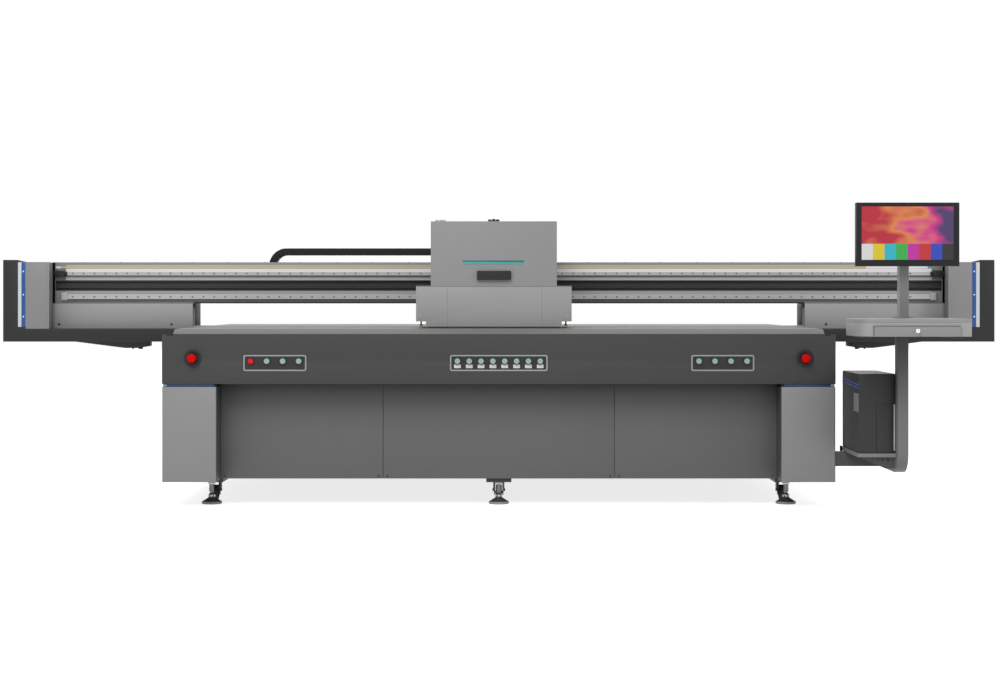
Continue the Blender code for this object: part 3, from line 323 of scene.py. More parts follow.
for row in ("front", "back"):
    for column in ("left", "middle", "right"):
        wheel = f"caster_wheel_{row}_{column}"
        low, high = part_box(wheel)
        middle = (low + high) / 2
        radius, width = (high.z - low.z) / 2, high.x - low.x
        tyre = rounded(tube(f"{wheel}_tyre", middle, radius, width - 0.003, 0.011, "X", 48), 0.004, 3)
        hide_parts(wheel)
        fitted(tyre, tyre_rubber, wheel)
        spokes = [tube("hub", middle, radius - 0.010, width - 0.008, 0.005, "X", 48)]
        spokes.append(rod("web", middle, radius - 0.012, 0.006, "X", 48))
        spokes.append(rod("boss", middle, 0.0105, width - 0.002, "X", 32))
        for turn in range(6):
            angle = math.radians(60 * turn)
            arm = block("arm", (middle.x - 0.006, middle.y - 0.0016, middle.z + 0.009),
                        (middle.x + 0.006, middle.y + 0.0016, middle.z + radius - 0.013))
            arm.data.transform(Matrix.Translation(middle) @ Matrix.Rotation(angle, 4, "X")
                               @ Matrix.Translation(-middle))
            spokes.append(arm)
        fitted(rounded(joined(f"{wheel}_hub", spokes), 0.0006, 1), hub_moulding, wheel)
        shell = []
        for side in (-1, 1):
            cheek_x, head_x = middle.x + side * 0.0245, middle.x + side * 0.0305
            shell.append(block("cheek", (cheek_x, middle.y - 0.030, 0.052),
                               (cheek_x + side * 0.004, middle.y + 0.030, 0.111)))
            shell.append(rod("axle_head", (head_x, middle.y, middle.z + 0.012), 0.008, 0.004, "X", 6))
        shell.append(rod("swivel_ring", (middle.x, middle.y, 0.1065), 0.034, 0.008, sides=40))
        fitted(rounded(joined(f"{wheel}_fork", shell), 0.0012), moulding, "base_frame")

# ---------------------------------------------------------------------------
# Side covers: 3 mm folded steel in pale grey powder coat, with painted shade on the inner side of the corner.
# Socket screws hold them to the frame, louvres are pressed into the long sides, and blue strips close the gap
# between them and the fascia.
LIGHT_GREY = (0.252, 0.252, 0.254)
SCREW_DARK = (0.05, 0.05, 0.052)
ACCENT_BLUE = (0.030, 0.095, 0.34)
BAND_BLUE = (0.070, 0.150, 0.32)
SHADE_GREY = (0.075, 0.075, 0.077)
PALE_BLUE = (0.42, 0.60, 0.88)
light_coat = mottled("light_powder_coat", LIGHT_GREY, 0.46, drift=0.035, grain=1400, relief=0.10)
screw_steel = mottled("black_screws", SCREW_DARK, 0.35, metallic=0.7, grain=500)
blue_trim = mottled("blue_trim", ACCENT_BLUE, 0.30, drift=0.18, grain=300, specular=0.3)
blue_band = mottled("blue_band", BAND_BLUE, 0.30, drift=0.30, grain=300, specular=0.4)
shade_coat = mottled("shaded_coat", SHADE_GREY, 0.5, drift=0.04, grain=1400, specular=0.25)
pale_lens = mottled("pale_blue_lens", PALE_BLUE, 0.25, drift=0.05, grain=300, coat=0.5)


def dressed(node, material, width, segments=2):
    """The CAD node's own shape with its edges broken, in the node's place."""
    piece = bpy.data.objects.new(f"{node}_finished", frame["nodes"][node].data.copy())
    bpy.context.scene.collection.objects.link(piece)
    piece.data.materials.clear()
    taken(piece)
    bpy.ops.object.mode_set(mode="EDIT")
    bpy.ops.mesh.select_all(action="SELECT")
    bpy.ops.mesh.remove_doubles(threshold=0.00001)
    bpy.ops.mesh.dissolve_limited(angle_limit=math.radians(1))
    bpy.ops.object.mode_set(mode="OBJECT")
    if width:
        rounded(piece, width, segments)
    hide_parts(node)
    return fitted(piece, material, node)


def slab(name, low, high, edge, material, node, segments=2):
    """A block with broken edges, fixed to what a CAD node is part of."""
    return fitted(rounded(block(name, low, high), edge, segments), material, node)


def row_of(piece, count, step):
    """The piece repeated at an even step."""
    return changed(piece, "ARRAY", count=count, use_relative_offset=False, use_constant_offset=True,
                   constant_offset_displace=step, use_merge_vertices=False)


def repainted(piece, material, chosen):
    """Another finish for the faces that a test of centre and normal picks."""
    piece.data.materials.append(material)
    number = len(piece.data.materials) - 1
    for face in piece.data.polygons:
        if chosen(face.center, face.normal):
            face.material_index = number
    return piece


def socket_screw(place, radius, axis, proud=0.002):
    """A round head with a socket in it, its face out along an axis given as (0, -1, 0) and the like."""
    letter = "XYZ"[[abs(part) for part in axis].index(1)]
    out = Vector(axis)
    head = tube("head", Vector(place) + out * proud / 2, radius, proud, radius * 0.42, letter, 20)
    floor_disc = rod("socket", Vector(place) + out * proud * 0.25, radius * 0.7, proud * 0.5, letter, 6)
    return joined("screw", [rounded(head, proud * 0.2, 1), floor_disc])


for side, name in ((-1, "left"), (1, "right")):
    node = f"side_cover_{name}"
    cover = dressed(node, light_coat, 0.001)
    low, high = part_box(node)
    outer, inner = (low.x, high.x) if side < 0 else (high.x, low.x)
    # The inner side of the corner gets painted shade.
    repainted(cover, shade_coat,
              lambda centre, normal: side * normal.x < -0.9 and abs(centre.x - inner) < 0.002)
    slats = []
    for bank in (0.9, 1.75):
        slat = block("slat", (outer - side * 0.0005, low.y + bank, low.z + 0.09),
                     (outer + side * 0.005, low.y + bank + 0.24, low.z + 0.098))
        slats.append(row_of(rounded(slat, 0.0025, 3), 12, (0, 0, 0.024)))
    fitted(joined(f"{node}_louvres", slats), light_coat, node)
    screws = []
    for along in range(8):
        for height in (low.z + 0.03, high.z - 0.03):
            place = (outer, low.y + 0.06 + along * (high.y - low.y - 0.12) / 7, height)
            screws.append(socket_screw(place, 0.006, (side, 0, 0)))
    fitted(joined(f"{node}_screws", screws), screw_steel, node)
    gap_low, gap_high = high.z + 0.0005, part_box("front_fascia")[0].z - 0.0005
    strip_front = low.y + 0.014
    strip = block("strip", (inner + side * 0.004, strip_front, gap_low),
                  (outer - side * 0.004, strip_front + 0.012, gap_high))
    flank = block("flank", (outer - side * 0.016, strip_front + 0.012, gap_low),
                  (outer - side * 0.004, high.y - 0.01, gap_high))
    fitted(rounded(joined(f"accent_strip_{name}", [strip, flank]), 0.002), blue_band, node)
    slab(f"accent_lens_{name}", (outer - side * 0.003, strip_front - 0.004, gap_low + 0.001),
         (outer - side * 0.022, strip_front + 0.02, gap_high - 0.001), 0.002, pale_lens, node)
    slab(f"accent_plug_{name}", (inner + side * 0.001, strip_front - 0.002, gap_low),
         (inner + side * 0.014, strip_front + 0.014, gap_high), 0.001, moulding, node)

# ---------------------------------------------------------------------------
# Three recessed front panels: folded trays in mid grey powder coat, hung on the frame and fixed with a screw
# near each lower corner. Their coat is painted darker right under the fascia, as the fascia's painted shadow,
# and dark strips back the joints between them.
PANEL_GREY = (0.134, 0.134, 0.137)
SHADED_DEPTH = 0.12
SHADED_SHARE = 0.43
panel_coat = mottled("panel_powder_coat", PANEL_GREY, 0.5, drift=0.04, grain=1400, relief=0.10, specular=0.3)


def painted_shade_by_height(material, dark_z, pale_z, share):
    """Painted shade: the finish is darker at one height, and its own colour from another height on."""
    nodes, links = material.node_tree.nodes, material.node_tree.links
    shader = nodes["Principled BSDF"]
    own = shader.inputs["Base Color"].links[0].from_socket
    place = nodes.new("ShaderNodeTexCoord")
    parts = nodes.new("ShaderNodeSeparateXYZ")
    links.new(place.outputs["Object"], parts.inputs[0])
    fade = nodes.new("ShaderNodeMapRange")
    fade.interpolation_type = "SMOOTHSTEP"
    fade.inputs["From Min"].default_value = dark_z
    fade.inputs["From Max"].default_value = pale_z
    links.new(parts.outputs["Z"], fade.inputs["Value"])
    dim = nodes.new("ShaderNodeMix")
    dim.data_type = "RGBA"
    dim.inputs[6].default_value = (share, share, share, 1)
    dim.inputs[7].default_value = (1, 1, 1, 1)
    links.new(fade.outputs[0], dim.inputs[0])
    both = nodes.new("ShaderNodeMix")
    both.data_type = "RGBA"
    both.blend_type = "MULTIPLY"
    both.inputs[0].default_value = 1
    links.new(own, both.inputs[6])
    links.new(dim.outputs[2], both.inputs[7])
    links.new(both.outputs[2], shader.inputs["Base Color"])


panel_low, panel_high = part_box("front_panel_middle")
# Painted shadow of the fascia on the panels, darkest at their top.
painted_shade_by_height(panel_coat, panel_high.z, panel_high.z - SHADED_DEPTH, SHADED_SHARE)
for name in ("left", "middle", "right"):
    node = f"front_panel_{name}"
    dressed(node, panel_coat, 0.0014)
    low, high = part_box(node)
    screws = [socket_screw((x, low.y, low.z + 0.012), 0.005, (0, -1, 0))
              for x in (low.x + 0.02, high.x - 0.02)]
    fitted(joined(f"{node}_screws", screws), screw_steel, node)
seam = (panel_high.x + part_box("front_panel_right")[0].x) / 2
for name, x in (("left", -seam), ("right", seam)):
    slab(f"joint_strip_{name}", (x - 0.012, panel_low.y + 0.0035, panel_low.z + 0.001),
         (x + 0.012, panel_low.y + 0.0045, panel_high.z - 0.004), 0.0003, shade_coat,
         "front_panel_middle", segments=1)

# ---------------------------------------------------------------------------
# The rear cover: one folded sheet over the rear deck and down the back, with three banks of louvres and
# a plate of cable glands. A strip closes the corner at each side.
dressed("rear_cover", light_coat, 0.001)
low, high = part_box("rear_cover")
slats = []
for bank in (-1.1, -0.2, 0.7):
    slat = block("slat", (bank, high.y - 0.0005, 0.30), (bank + 0.4, high.y + 0.005, 0.308))
    slats.append(row_of(rounded(slat, 0.0025, 3), 10, (0, 0, 0.026)))
fitted(joined("rear_louvres", slats), light_coat, "rear_cover")
side_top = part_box("side_cover_right")[1]
strips = []
for side in (-1, 1):
    near, far = side * (high.x + 0.0002), side * (side_top.x - 0.0035)
    strips.append(block("strip", (near, high.y - 0.003, low.z + 0.001),
                        (far, high.y - 0.0005, side_top.z - 0.002)))
    strips.append(block("fold", (near, high.y - 0.040, low.z + 0.001),
                        (near + side * 0.0025, high.y - 0.003, side_top.z - 0.002)))
fitted(joined("rear_corner_strips", strips), light_coat, "rear_cover")
screws = []
for step in range(9):
    x = low.x + 0.05 + step * (high.x - low.x - 0.10) / 8
    for z in (0.15, 0.76):
        screws.append(socket_screw((x, high.y, z), 0.006, (0, 1, 0)))
    screws.append(socket_screw((x, high.y - 0.04, high.z), 0.006, (0, 0, 1)))
fitted(joined("rear_screws", screws), screw_steel, "rear_cover")
glands = [rounded(block("inlet_plate", (1.20, high.y - 0.0005, 0.20), (1.40, high.y + 0.004, 0.34)), 0.0015)]
for step in range(3):
    x = 1.24 + 0.06 * step
    glands.append(rounded(rod("gland", (x, high.y + 0.010, 0.27), 0.016, 0.014, "Y", 6), 0.0015))
    ring = tube("gland_ring", (x, high.y + 0.020, 0.27), 0.012, 0.010, 0.004, "Y")
    glands.append(rounded(ring, 0.001))
fitted(joined("cable_glands", glands), moulding, "rear_cover")

# ---------------------------------------------------------------------------
# The front fascia: dark powder coated steel, folded, with its sloping lip up to the table painted paler as
# painted light from above. Three anodised button plates with a light frame are bonded to it, and black slots
# close the lip's ends.
DARK_GREY = (0.060, 0.060, 0.061)
LIP_LIT_GREY = (0.168, 0.168, 0.170)
PLATE_GREY = (0.030, 0.030, 0.031)
FRAME_LINE = (0.33, 0.33, 0.34)
LABEL_WHITE = (0.70, 0.66, 0.66)
PLATE_PROUD = 0.0015
PLATE_MARGIN = 0.0365
PLATE_RISE, PLATE_DROP = 0.030, 0.049
dark_coat = mottled("dark_powder_coat", DARK_GREY, 0.50, drift=0.03, grain=1400, relief=0.10, specular=0.2)
lip_painted_light = mottled("lip_painted_light_coat", LIP_LIT_GREY, 0.45, drift=0.03, grain=1400, relief=0.08)
plate_anodised = mottled("plate_anodised", PLATE_GREY, 0.42, grain=1800, relief=0.03, specular=0.25)
plate_line = mottled("plate_line", FRAME_LINE, 0.40, grain=1800)
label_blank = mottled("label_blank", LABEL_WHITE, 0.55, drift=0.03, grain=900)


def picked(piece, chosen):
    """Edit mode with only the chosen faces selected."""
    taken(piece)
    bpy.ops.object.mode_set(mode="EDIT")
    bpy.ops.mesh.select_all(action="DESELECT")
    bpy.ops.object.mode_set(mode="OBJECT")
    for face in piece.data.polygons:
        face.select = chosen(face.center, face.normal)
    bpy.ops.object.mode_set(mode="EDIT")
    bpy.ops.mesh.select_mode(type="FACE")


def picked_edges(piece, chosen):
    """Edit mode with only the chosen edges selected; the test gets an edge's two ends."""
    taken(piece)
    bpy.ops.object.mode_set(mode="EDIT")
    bpy.ops.mesh.select_mode(type="EDGE")
    bpy.ops.mesh.select_all(action="DESELECT")
    bpy.ops.object.mode_set(mode="OBJECT")
    points = piece.data.vertices
    for edge in piece.data.edges:
        edge.select = chosen(points[edge.vertices[0]].co, points[edge.vertices[1]].co)
    bpy.ops.object.mode_set(mode="EDIT")


def along_y(a, b):
    """An edge that runs along Y."""
    return abs(a.x - b.x) < 1e-6 and abs(a.z - b.z) < 1e-6


def to_front(centre, normal):
    """A face that looks at the operator."""
    return normal.y < -0.9


def middle_of(node):
    """The middle of a CAD node's box."""
    low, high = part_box(node)
    return (low + high) / 2


def round_plate(name, low, high, radius):
    """A plate that faces the operator, with round corners."""
    plate = block(name, low, high)
    picked_edges(plate, along_y)
    bpy.ops.mesh.bevel(offset=radius, segments=6)
    bpy.ops.object.mode_set(mode="OBJECT")
    return plate


def blank_labels(buttons):
    """A small bare plate under each button."""
    labels = []
    for button in buttons:
        x, z = middle_of(button).x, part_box(button)[0].z - 0.0115
        labels.append(round_plate("label", (x - 0.0165, face - 0.0016, z - 0.009),
                                  (x + 0.0165, face - 0.0008, z + 0.009), 0.002))
    fitted(joined("blank_labels", labels), label_blank, "front_fascia")


LIP_HEIGHT = 0.0235
BUTTON_ROWS = {"left": 4, "middle": 8, "right": 4}
low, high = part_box("front_fascia")
face = low.y
fascia = dressed("front_fascia", dark_coat, 0.0012)
# The sloping lip's faces are painted paler than the fascia: painted light from above.
repainted(fascia, lip_painted_light, lambda centre, normal: normal.z > 0.3 and normal.y < -0.3
          and centre.z > high.z - LIP_HEIGHT)
for row, count in BUTTON_ROWS.items():
    first, last = middle_of(f"button_{row}_1"), middle_of(f"button_{row}_{count}")
    plate = round_plate(f"button_plate_{row}",
                        (first.x - PLATE_MARGIN, face - PLATE_PROUD, first.z - PLATE_DROP),
                        (last.x + PLATE_MARGIN, face + 0.0002, first.z + PLATE_RISE), 0.010)
    picked(plate, to_front)
    bpy.ops.mesh.inset(thickness=0.0065)
    bpy.ops.mesh.extrude_region_move(TRANSFORM_OT_translate={"value": (0, 0.0005, 0)})
    bpy.ops.object.mode_set(mode="OBJECT")
    plate.data.materials.append(plate_line)
    repainted(plate, plate_anodised,
              lambda centre, normal: normal.y < -0.9 and centre.y > face - PLATE_PROUD + 0.0003)
    fitted(plate, plate_line, "front_fascia")
    if row == "middle":
        blank_labels([f"button_{row}_{number + 1}" for number in range(count)])
closers = [block("closer", (side * (high.x - 0.054), face - 0.0008, high.z - 0.0325),
                 (side * (high.x - 0.024), face + 0.002, high.z - 0.0235)) for side in (-1, 1)]
fitted(rounded(joined("lip_slots", closers), 0.0006), moulding, "front_fascia")
screws = [socket_screw((side * high.x, face + 0.03, z), 0.005, (side, 0, 0))
          for side in (-1, 1) for z in (low.z + 0.02, high.z - 0.06)]
fitted(joined("fascia_screws", screws), screw_steel, "front_fascia")

# ---------------------------------------------------------------------------
# Sixteen 22 mm push buttons: dished caps in satin moulding, each in a dark threaded bezel ring.
# The first of the left row is the red one.
BUTTON_GREEN = (0.29, 0.44, 0.36)
RING_GREEN = (0.012, 0.040, 0.028)
RING_RED = (0.16, 0.004, 0.006)
BUTTON_RED = (0.62, 0.006, 0.012)
green_cap = mottled("green_cap", BUTTON_GREEN, 0.30, drift=0.05, grain=500, specular=0.4)
red_cap = mottled("red_cap", BUTTON_RED, 0.28, drift=0.05, grain=500, specular=0.3)
green_ring = mottled("green_ring", RING_GREEN, 0.35, grain=500, specular=0.3)
red_ring = mottled("red_ring", RING_RED, 0.35, grain=500, specular=0.3)
STEM_RADIUS = 0.011
for row, count in BUTTON_ROWS.items():
    for number in range(1, count + 1):
        node = f"button_{row}_{number}"
        low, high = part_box(node)
        x, z, radius = (low.x + high.x) / 2, (low.z + high.z) / 2, (high.x - low.x) / 2 - 0.0004
        cap = rod("cap", (x, low.y + 0.0045, z), radius, 0.009, "Y", 48)
        picked(cap, to_front)
        bpy.ops.mesh.inset(thickness=0.0025)
        bpy.ops.mesh.inset(thickness=0.003)
        bpy.ops.transform.translate(value=(0, 0.0008, 0))
        bpy.ops.object.mode_set(mode="OBJECT")
        stem = rod("stem", (x, (low.y + 0.009 + high.y) / 2, z), STEM_RADIUS, high.y - low.y - 0.009, "Y", 32)
        button = joined(f"{node}_cap", [rounded(cap, 0.0007), stem])
        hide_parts(node)
        fitted(button, red_cap if node == "button_left_1" else green_cap, node)
        bezel = tube(f"{node}_bezel", (x, face - 0.0055, z), 0.0178, 0.008, 0.0032, "Y", 48)
        ring = red_ring if node == "button_left_1" else green_ring
        fitted(rounded(bezel, 0.0006), ring, "front_fascia")

# ---------------------------------------------------------------------------
# Two emergency stops: glossy red mushroom heads on stems, their rims painted darker red as painted shade, in
# broad dark collars that are screwed to the fascia.
mushroom_red = mottled("mushroom_red", (0.62, 0.001, 0.002), 0.34, drift=0.04, grain=300, specular=0.08)
mushroom_rim_painted_shade = mottled("mushroom_rim_painted_shade", (0.20, 0.001, 0.002), 0.40, drift=0.04, grain=300, specular=0.08)
for name in ("left", "right"):
    node = f"emergency_stop_{name}"
    low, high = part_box(node)
    x, z, radius = (low.x + high.x) / 2, (low.z + high.z) / 2, (high.x - low.x) / 2
    head = rod("head", (x, low.y + 0.012, z), radius, 0.024, "Y", 64)
    picked(head, to_front)
    bpy.ops.mesh.bevel(offset=0.009, segments=6)
    bpy.ops.object.mode_set(mode="OBJECT")
    grip = tube("grip", (x, low.y + 0.0175, z), radius + 0.0004, 0.003, 0.002, "Y", 64)
    stem = rod("stem", (x, (low.y + 0.024 + high.y) / 2, z), STEM_RADIUS, high.y - low.y - 0.024, "Y", 32)
    stop = joined(f"{node}_mushroom", [head, rounded(grip, 0.0006), stem])
    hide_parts(node)
    fitted(stop, mushroom_red, node)
    # The outer ring of the head is painted darker red: painted shade.
    repainted(stop, mushroom_rim_painted_shade,
              lambda centre, normal: math.hypot(centre.x - x, centre.z - z) > radius * 0.86)
    collar = [rounded(tube("collar", (x, face - 0.003, z), 0.0415, 0.006, 0.016, "Y", 64), 0.002, 3)]
    collar.append(rounded(tube("sleeve", (x, face - 0.007, z), 0.019, 0.014, 0.0065, "Y", 48), 0.001))
    for turn in range(3):
        angle = math.radians(90 + 120 * turn)
        place = (x + 0.034 * math.cos(angle), face - 0.006, z + 0.034 * math.sin(angle))
        collar.append(socket_screw(place, 0.0035, (0, -1, 0), 0.0015))
    fitted(joined(f"{node}_collar", collar), moulding, "front_fascia")

# ---------------------------------------------------------------------------
# The vacuum table: anodised aluminium plates, drilled at a 50 mm pitch and screwed down. The air is
# drawn through the holes.
TABLE_METAL = (0.285, 0.285, 0.288)
HOLE_RADIUS = 0.003
HOLE_DEPTH = 0.004
table_metal = mottled("table_anodised", TABLE_METAL, 0.40, metallic=0.35, drift=0.03, grain=900, relief=0.03,
                      stretch=(0.2, 1, 1))
low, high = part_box("vacuum_table")
COLUMNS, ROWS = 64, 40
pitch = ((high.x - low.x) / COLUMNS, (high.y - low.y) / ROWS)
hole = Vector((low.x + pitch[0] / 2, low.y + pitch[1] / 2, high.z))


def picked_points(piece, chosen):
    """Edit mode with only the chosen points selected."""
    taken(piece)
    bpy.ops.object.mode_set(mode="EDIT")
    bpy.ops.mesh.select_mode(type="VERT")
    bpy.ops.mesh.select_all(action="DESELECT")
    bpy.ops.object.mode_set(mode="OBJECT")
    for point in piece.data.vertices:
        point.select = chosen(point.co)
    bpy.ops.object.mode_set(mode="EDIT")


bpy.ops.object.select_all(action="DESELECT")
bpy.ops.mesh.primitive_plane_add(size=1, location=hole)
table = bpy.context.object
table.scale = (pitch[0], pitch[1], 1)
bpy.ops.object.transform_apply(location=True, rotation=True, scale=True)
bpy.ops.object.mode_set(mode="EDIT")
bpy.ops.mesh.subdivide(number_cuts=1)
bpy.ops.object.mode_set(mode="OBJECT")
picked_points(table, lambda point: (point - hole).length < 0.001)
bpy.ops.mesh.bevel(offset=HOLE_RADIUS, segments=2, affect="VERTICES", profile=0.5)
bpy.ops.object.mode_set(mode="OBJECT")
picked(table, lambda centre, normal: (centre - hole).length < 0.0001)
bpy.ops.mesh.extrude_region_move(TRANSFORM_OT_translate={"value": (0, 0, -HOLE_DEPTH)})
bpy.ops.object.mode_set(mode="OBJECT")
for count, step in ((COLUMNS, (pitch[0], 0, 0)), (ROWS, (0, pitch[1], 0))):
    changed(table, "ARRAY", count=count, use_relative_offset=False, use_constant_offset=True,
            constant_offset_displace=step, use_merge_vertices=True, merge_threshold=0.0001)
bpy.ops.object.mode_set(mode="EDIT")
bpy.ops.mesh.select_mode(type="EDGE")
bpy.ops.mesh.select_all(action="DESELECT")
bpy.ops.mesh.select_non_manifold()
bpy.ops.mesh.extrude_region_move(TRANSFORM_OT_translate={"value": (0, 0, low.z - high.z)})
bpy.ops.mesh.edge_face_add()
bpy.ops.mesh.select_all(action="SELECT")
bpy.ops.mesh.normals_make_consistent(inside=False)
bpy.ops.object.mode_set(mode="OBJECT")
table.name = "drilled_table"
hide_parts("vacuum_table")
fitted(table, table_metal, "vacuum_table")
screws = []
for column in range(9):
    x = low.x + pitch[0] + column * (high.x - low.x - 2 * pitch[0]) / 8
    for row in range(3):
        y = low.y + pitch[1] + row * (high.y - low.y - 2 * pitch[1]) / 2
        screws.append(socket_screw((x, y, high.z - 0.0012), 0.005, (0, 0, 1), 0.0015))
fitted(joined("table_screws", screws), zinc, "vacuum_table")

# ---------------------------------------------------------------------------
# The gantry's rails on the base: ground steel, bolted down through the rail every 60 mm, with a
# rubber stop at each end.
RAIL_STEEL = (0.50, 0.50, 0.51)
BOLT_PITCH = 0.06
rail_steel = mottled("ground_rail_steel", RAIL_STEEL, 0.26, metallic=0.95, drift=0.04, grain=2000,
                     relief=0.03, stretch=(1, 0.03, 1))
bolt_black = mottled("bolt_black", (0.03, 0.03, 0.032), 0.40, metallic=0.6, grain=700)
for name in ("left", "right"):
    node = f"y_rail_{name}"
    recoat(node, rail_steel)
    low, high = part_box(node)
    x = (low.x + high.x) / 2
    count = int((high.y - low.y - 0.04) / BOLT_PITCH)
    bolt = rod("bolt", (x, low.y + 0.03, high.z - 0.0002), 0.0045, 0.0008, "Z", 12)
    fitted(row_of(bolt, count, (0, BOLT_PITCH, 0)), bolt_black, node).name = f"{node}_bolts"
    for end, y in (("front", low.y + 0.008), ("back", high.y - 0.008)):
        stop = block("stop", (x - 0.02, y - 0.006, high.z - 0.006), (x + 0.02, y + 0.006, high.z + 0.026))
        fitted(rounded(stop, 0.003, 3), tyre_rubber, node).name = f"{node}_stop_{end}"

# ---------------------------------------------------------------------------
# The side channel blower under the table: grey enamelled castings with cooling ribs on the motor and
# a hose spigot, hung by its bracket.
recoat("vacuum_blower", enamel)
low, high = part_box("vacuum_blower")
middle = (low + high) / 2
axis_z = low.z + 0.15
spigot = (middle.x + 0.01, middle.y + 0.16, axis_z - 0.05)
ribs = []
for step in range(7):
    ribs.append(tube("rib", (high.x - 0.012 - 0.007 * step, middle.y, axis_z), 0.112, 0.003, 0.008, "X", 48))
ribs.append(tube("spigot", spigot, 0.030, 0.09, 0.004, "Y", 32))
for step in range(2):
    bead = (spigot[0], spigot[1] + 0.025 + 0.012 * step, spigot[2])
    ribs.append(tube("bead", bead, 0.032, 0.004, 0.003, "Y", 32))
fitted(rounded(joined("blower_ribs", ribs), 0.0008), enamel, "vacuum_blower")

# ---------------------------------------------------------------------------
# The gantry beam: an extruded and painted girder. Its face carries a pale strip, a white strip that is a
# painted highlight along the upper rail's ledge, a rose grey painted shadow line under the upper rail, the
# gold encoder tape between its white clamps, and a dark trough with the toothed drive belt in it.
TAPE_GOLD = (0.64, 0.55, 0.22)
WHITE_CLAMP_AND_HIGHLIGHT = (0.82, 0.80, 0.82)
STRIP_PALE = (0.50, 0.50, 0.51)
STRIP_GREY = (0.17, 0.17, 0.172)
RAIL_SHADOW_ROSE = (0.27, 0.245, 0.262)
TROUGH_DARK = (0.042, 0.042, 0.044)
tape_gold = mottled("encoder_tape", TAPE_GOLD, 0.32, metallic=0.2, drift=0.04, grain=1500,
                    stretch=(0.1, 1, 1))
tape_edge = mottled("encoder_tape_edge", (0.36, 0.28, 0.08), 0.40, metallic=0.2, drift=0.04, grain=1500)
white_clamp_and_ledge_highlight = mottled("white_clamp_and_ledge_highlight_paint", WHITE_CLAMP_AND_HIGHLIGHT, 0.38, drift=0.02, grain=900)
strip_pale = mottled("pale_strip", STRIP_PALE, 0.36, drift=0.03, grain=900)
strip_middle = mottled("middle_strip", (0.36, 0.36, 0.362), 0.36, drift=0.03, grain=900)
strip_grey = mottled("grey_strip", STRIP_GREY, 0.45, drift=0.03, grain=900)
rail_shadow_paint = mottled("rail_shadow_rose_grey", RAIL_SHADOW_ROSE, 0.45, drift=0.03, grain=900)
trough_dark = mottled("trough_coat", TROUGH_DARK, 0.55, drift=0.05, grain=1200)
belt_black = mottled("belt_rubber", (0.020, 0.020, 0.021), 0.65, grain=700, relief=0.10)
low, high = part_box("gantry_beam")
beam_face, beam_foot, beam_head = low.y, low.z, high.z
trough = (beam_foot + 0.0697, beam_foot + 0.1266)
beam = dressed("gantry_beam", light_coat, 0.0008)
repainted(beam, trough_dark, lambda centre, normal: trough[0] - 0.0005 < centre.z < trough[1] + 0.0005
          and beam_face + 0.0009 < centre.y < beam_face + 0.032)


def face_strip(name, span, rise, material, proud=0.0008):
    """A strip along the beam's face, between two ends and two heights over its foot."""
    slab(name, (span[0], beam_face - proud, beam_foot + rise[0]),
         (span[1], beam_face + 0.0002, beam_foot + rise[1]), proud * 0.3, material, "gantry_beam", segments=1)


rail_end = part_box("x_rail_upper")[1].x
tape_span = (-rail_end - 0.040, rail_end - 0.350)
full = (-rail_end - 0.012, rail_end + 0.012)
face_strip("pale_upper_strip", full, (0.2045, 0.2125), strip_pale)
face_strip("encoder_tape", tape_span, (0.1965, 0.2035), tape_gold)
face_strip("encoder_tape_edge", tape_span, (0.1930, 0.1965), tape_edge)
# The white strip over the upper rail is a painted highlight, where the ledge catches the light.
face_strip("rail_ledge_highlight", full, (0.1725, 0.1925), white_clamp_and_ledge_highlight)
# A rose grey painted shadow line under the upper rail.
face_strip("rail_shadow_line", full, (0.1450, 0.1500), rail_shadow_paint, 0.0004)
face_strip("pale_middle_strip", full, (0.1290, 0.1450), strip_pale)
face_strip("pale_lower_strip", full, (0.0535, 0.0690), strip_middle)
face_strip("grey_lower_strip", full, (0.0090, 0.0240), strip_grey)
leg_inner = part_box("gantry_leg_right")[0].x + 0.0815
face_strip("black_lower_line", (-leg_inner, leg_inner), (0.0006, 0.0085), bolt_black, 0.0010)
clamps = []
for side, edge, reach in ((-1, tape_span[0], 0.030), (1, tape_span[1], 0.340)):
    clamps.append(block("clamp", (edge, beam_face - 0.0025, beam_foot + 0.192),
                        (edge + side * reach, beam_face, beam_foot + 0.2045)))
    screw = (edge + side * 0.015, beam_face - 0.0035, beam_foot + 0.1985)
    clamps.append(rod("clamp_screw", screw, 0.0040, 0.002, "Y", 12))
fitted(rounded(joined("tape_clamps", clamps), 0.001), white_clamp_and_ledge_highlight, "gantry_beam")
belt_low, belt_high, belt_foot = low.x + 0.004, high.x - 0.004, trough[0] + 0.014
belt = block("belt", (belt_low, beam_face + 0.0155, belt_foot),
             (belt_high, beam_face + 0.018, belt_foot + 0.028))
tooth = block("tooth", (belt_low, beam_face + 0.0145, belt_foot + 0.0005),
              (belt_low + 0.005, beam_face + 0.016, belt_foot + 0.0275))
teeth = row_of(rounded(tooth, 0.0004, 1), int((belt_high - belt_low) / 0.01), (0.01, 0, 0))
fitted(joined("drive_belt", [rounded(belt, 0.0006, 1), teeth]), belt_black, "gantry_beam")
screw = socket_screw((-2.3, beam_face + 0.06, beam_head), 0.005, (0, 0, 1))
fitted(row_of(screw, 24, (0.2, 0, 0)), screw_steel, "gantry_beam").name = "beam_top_screws"

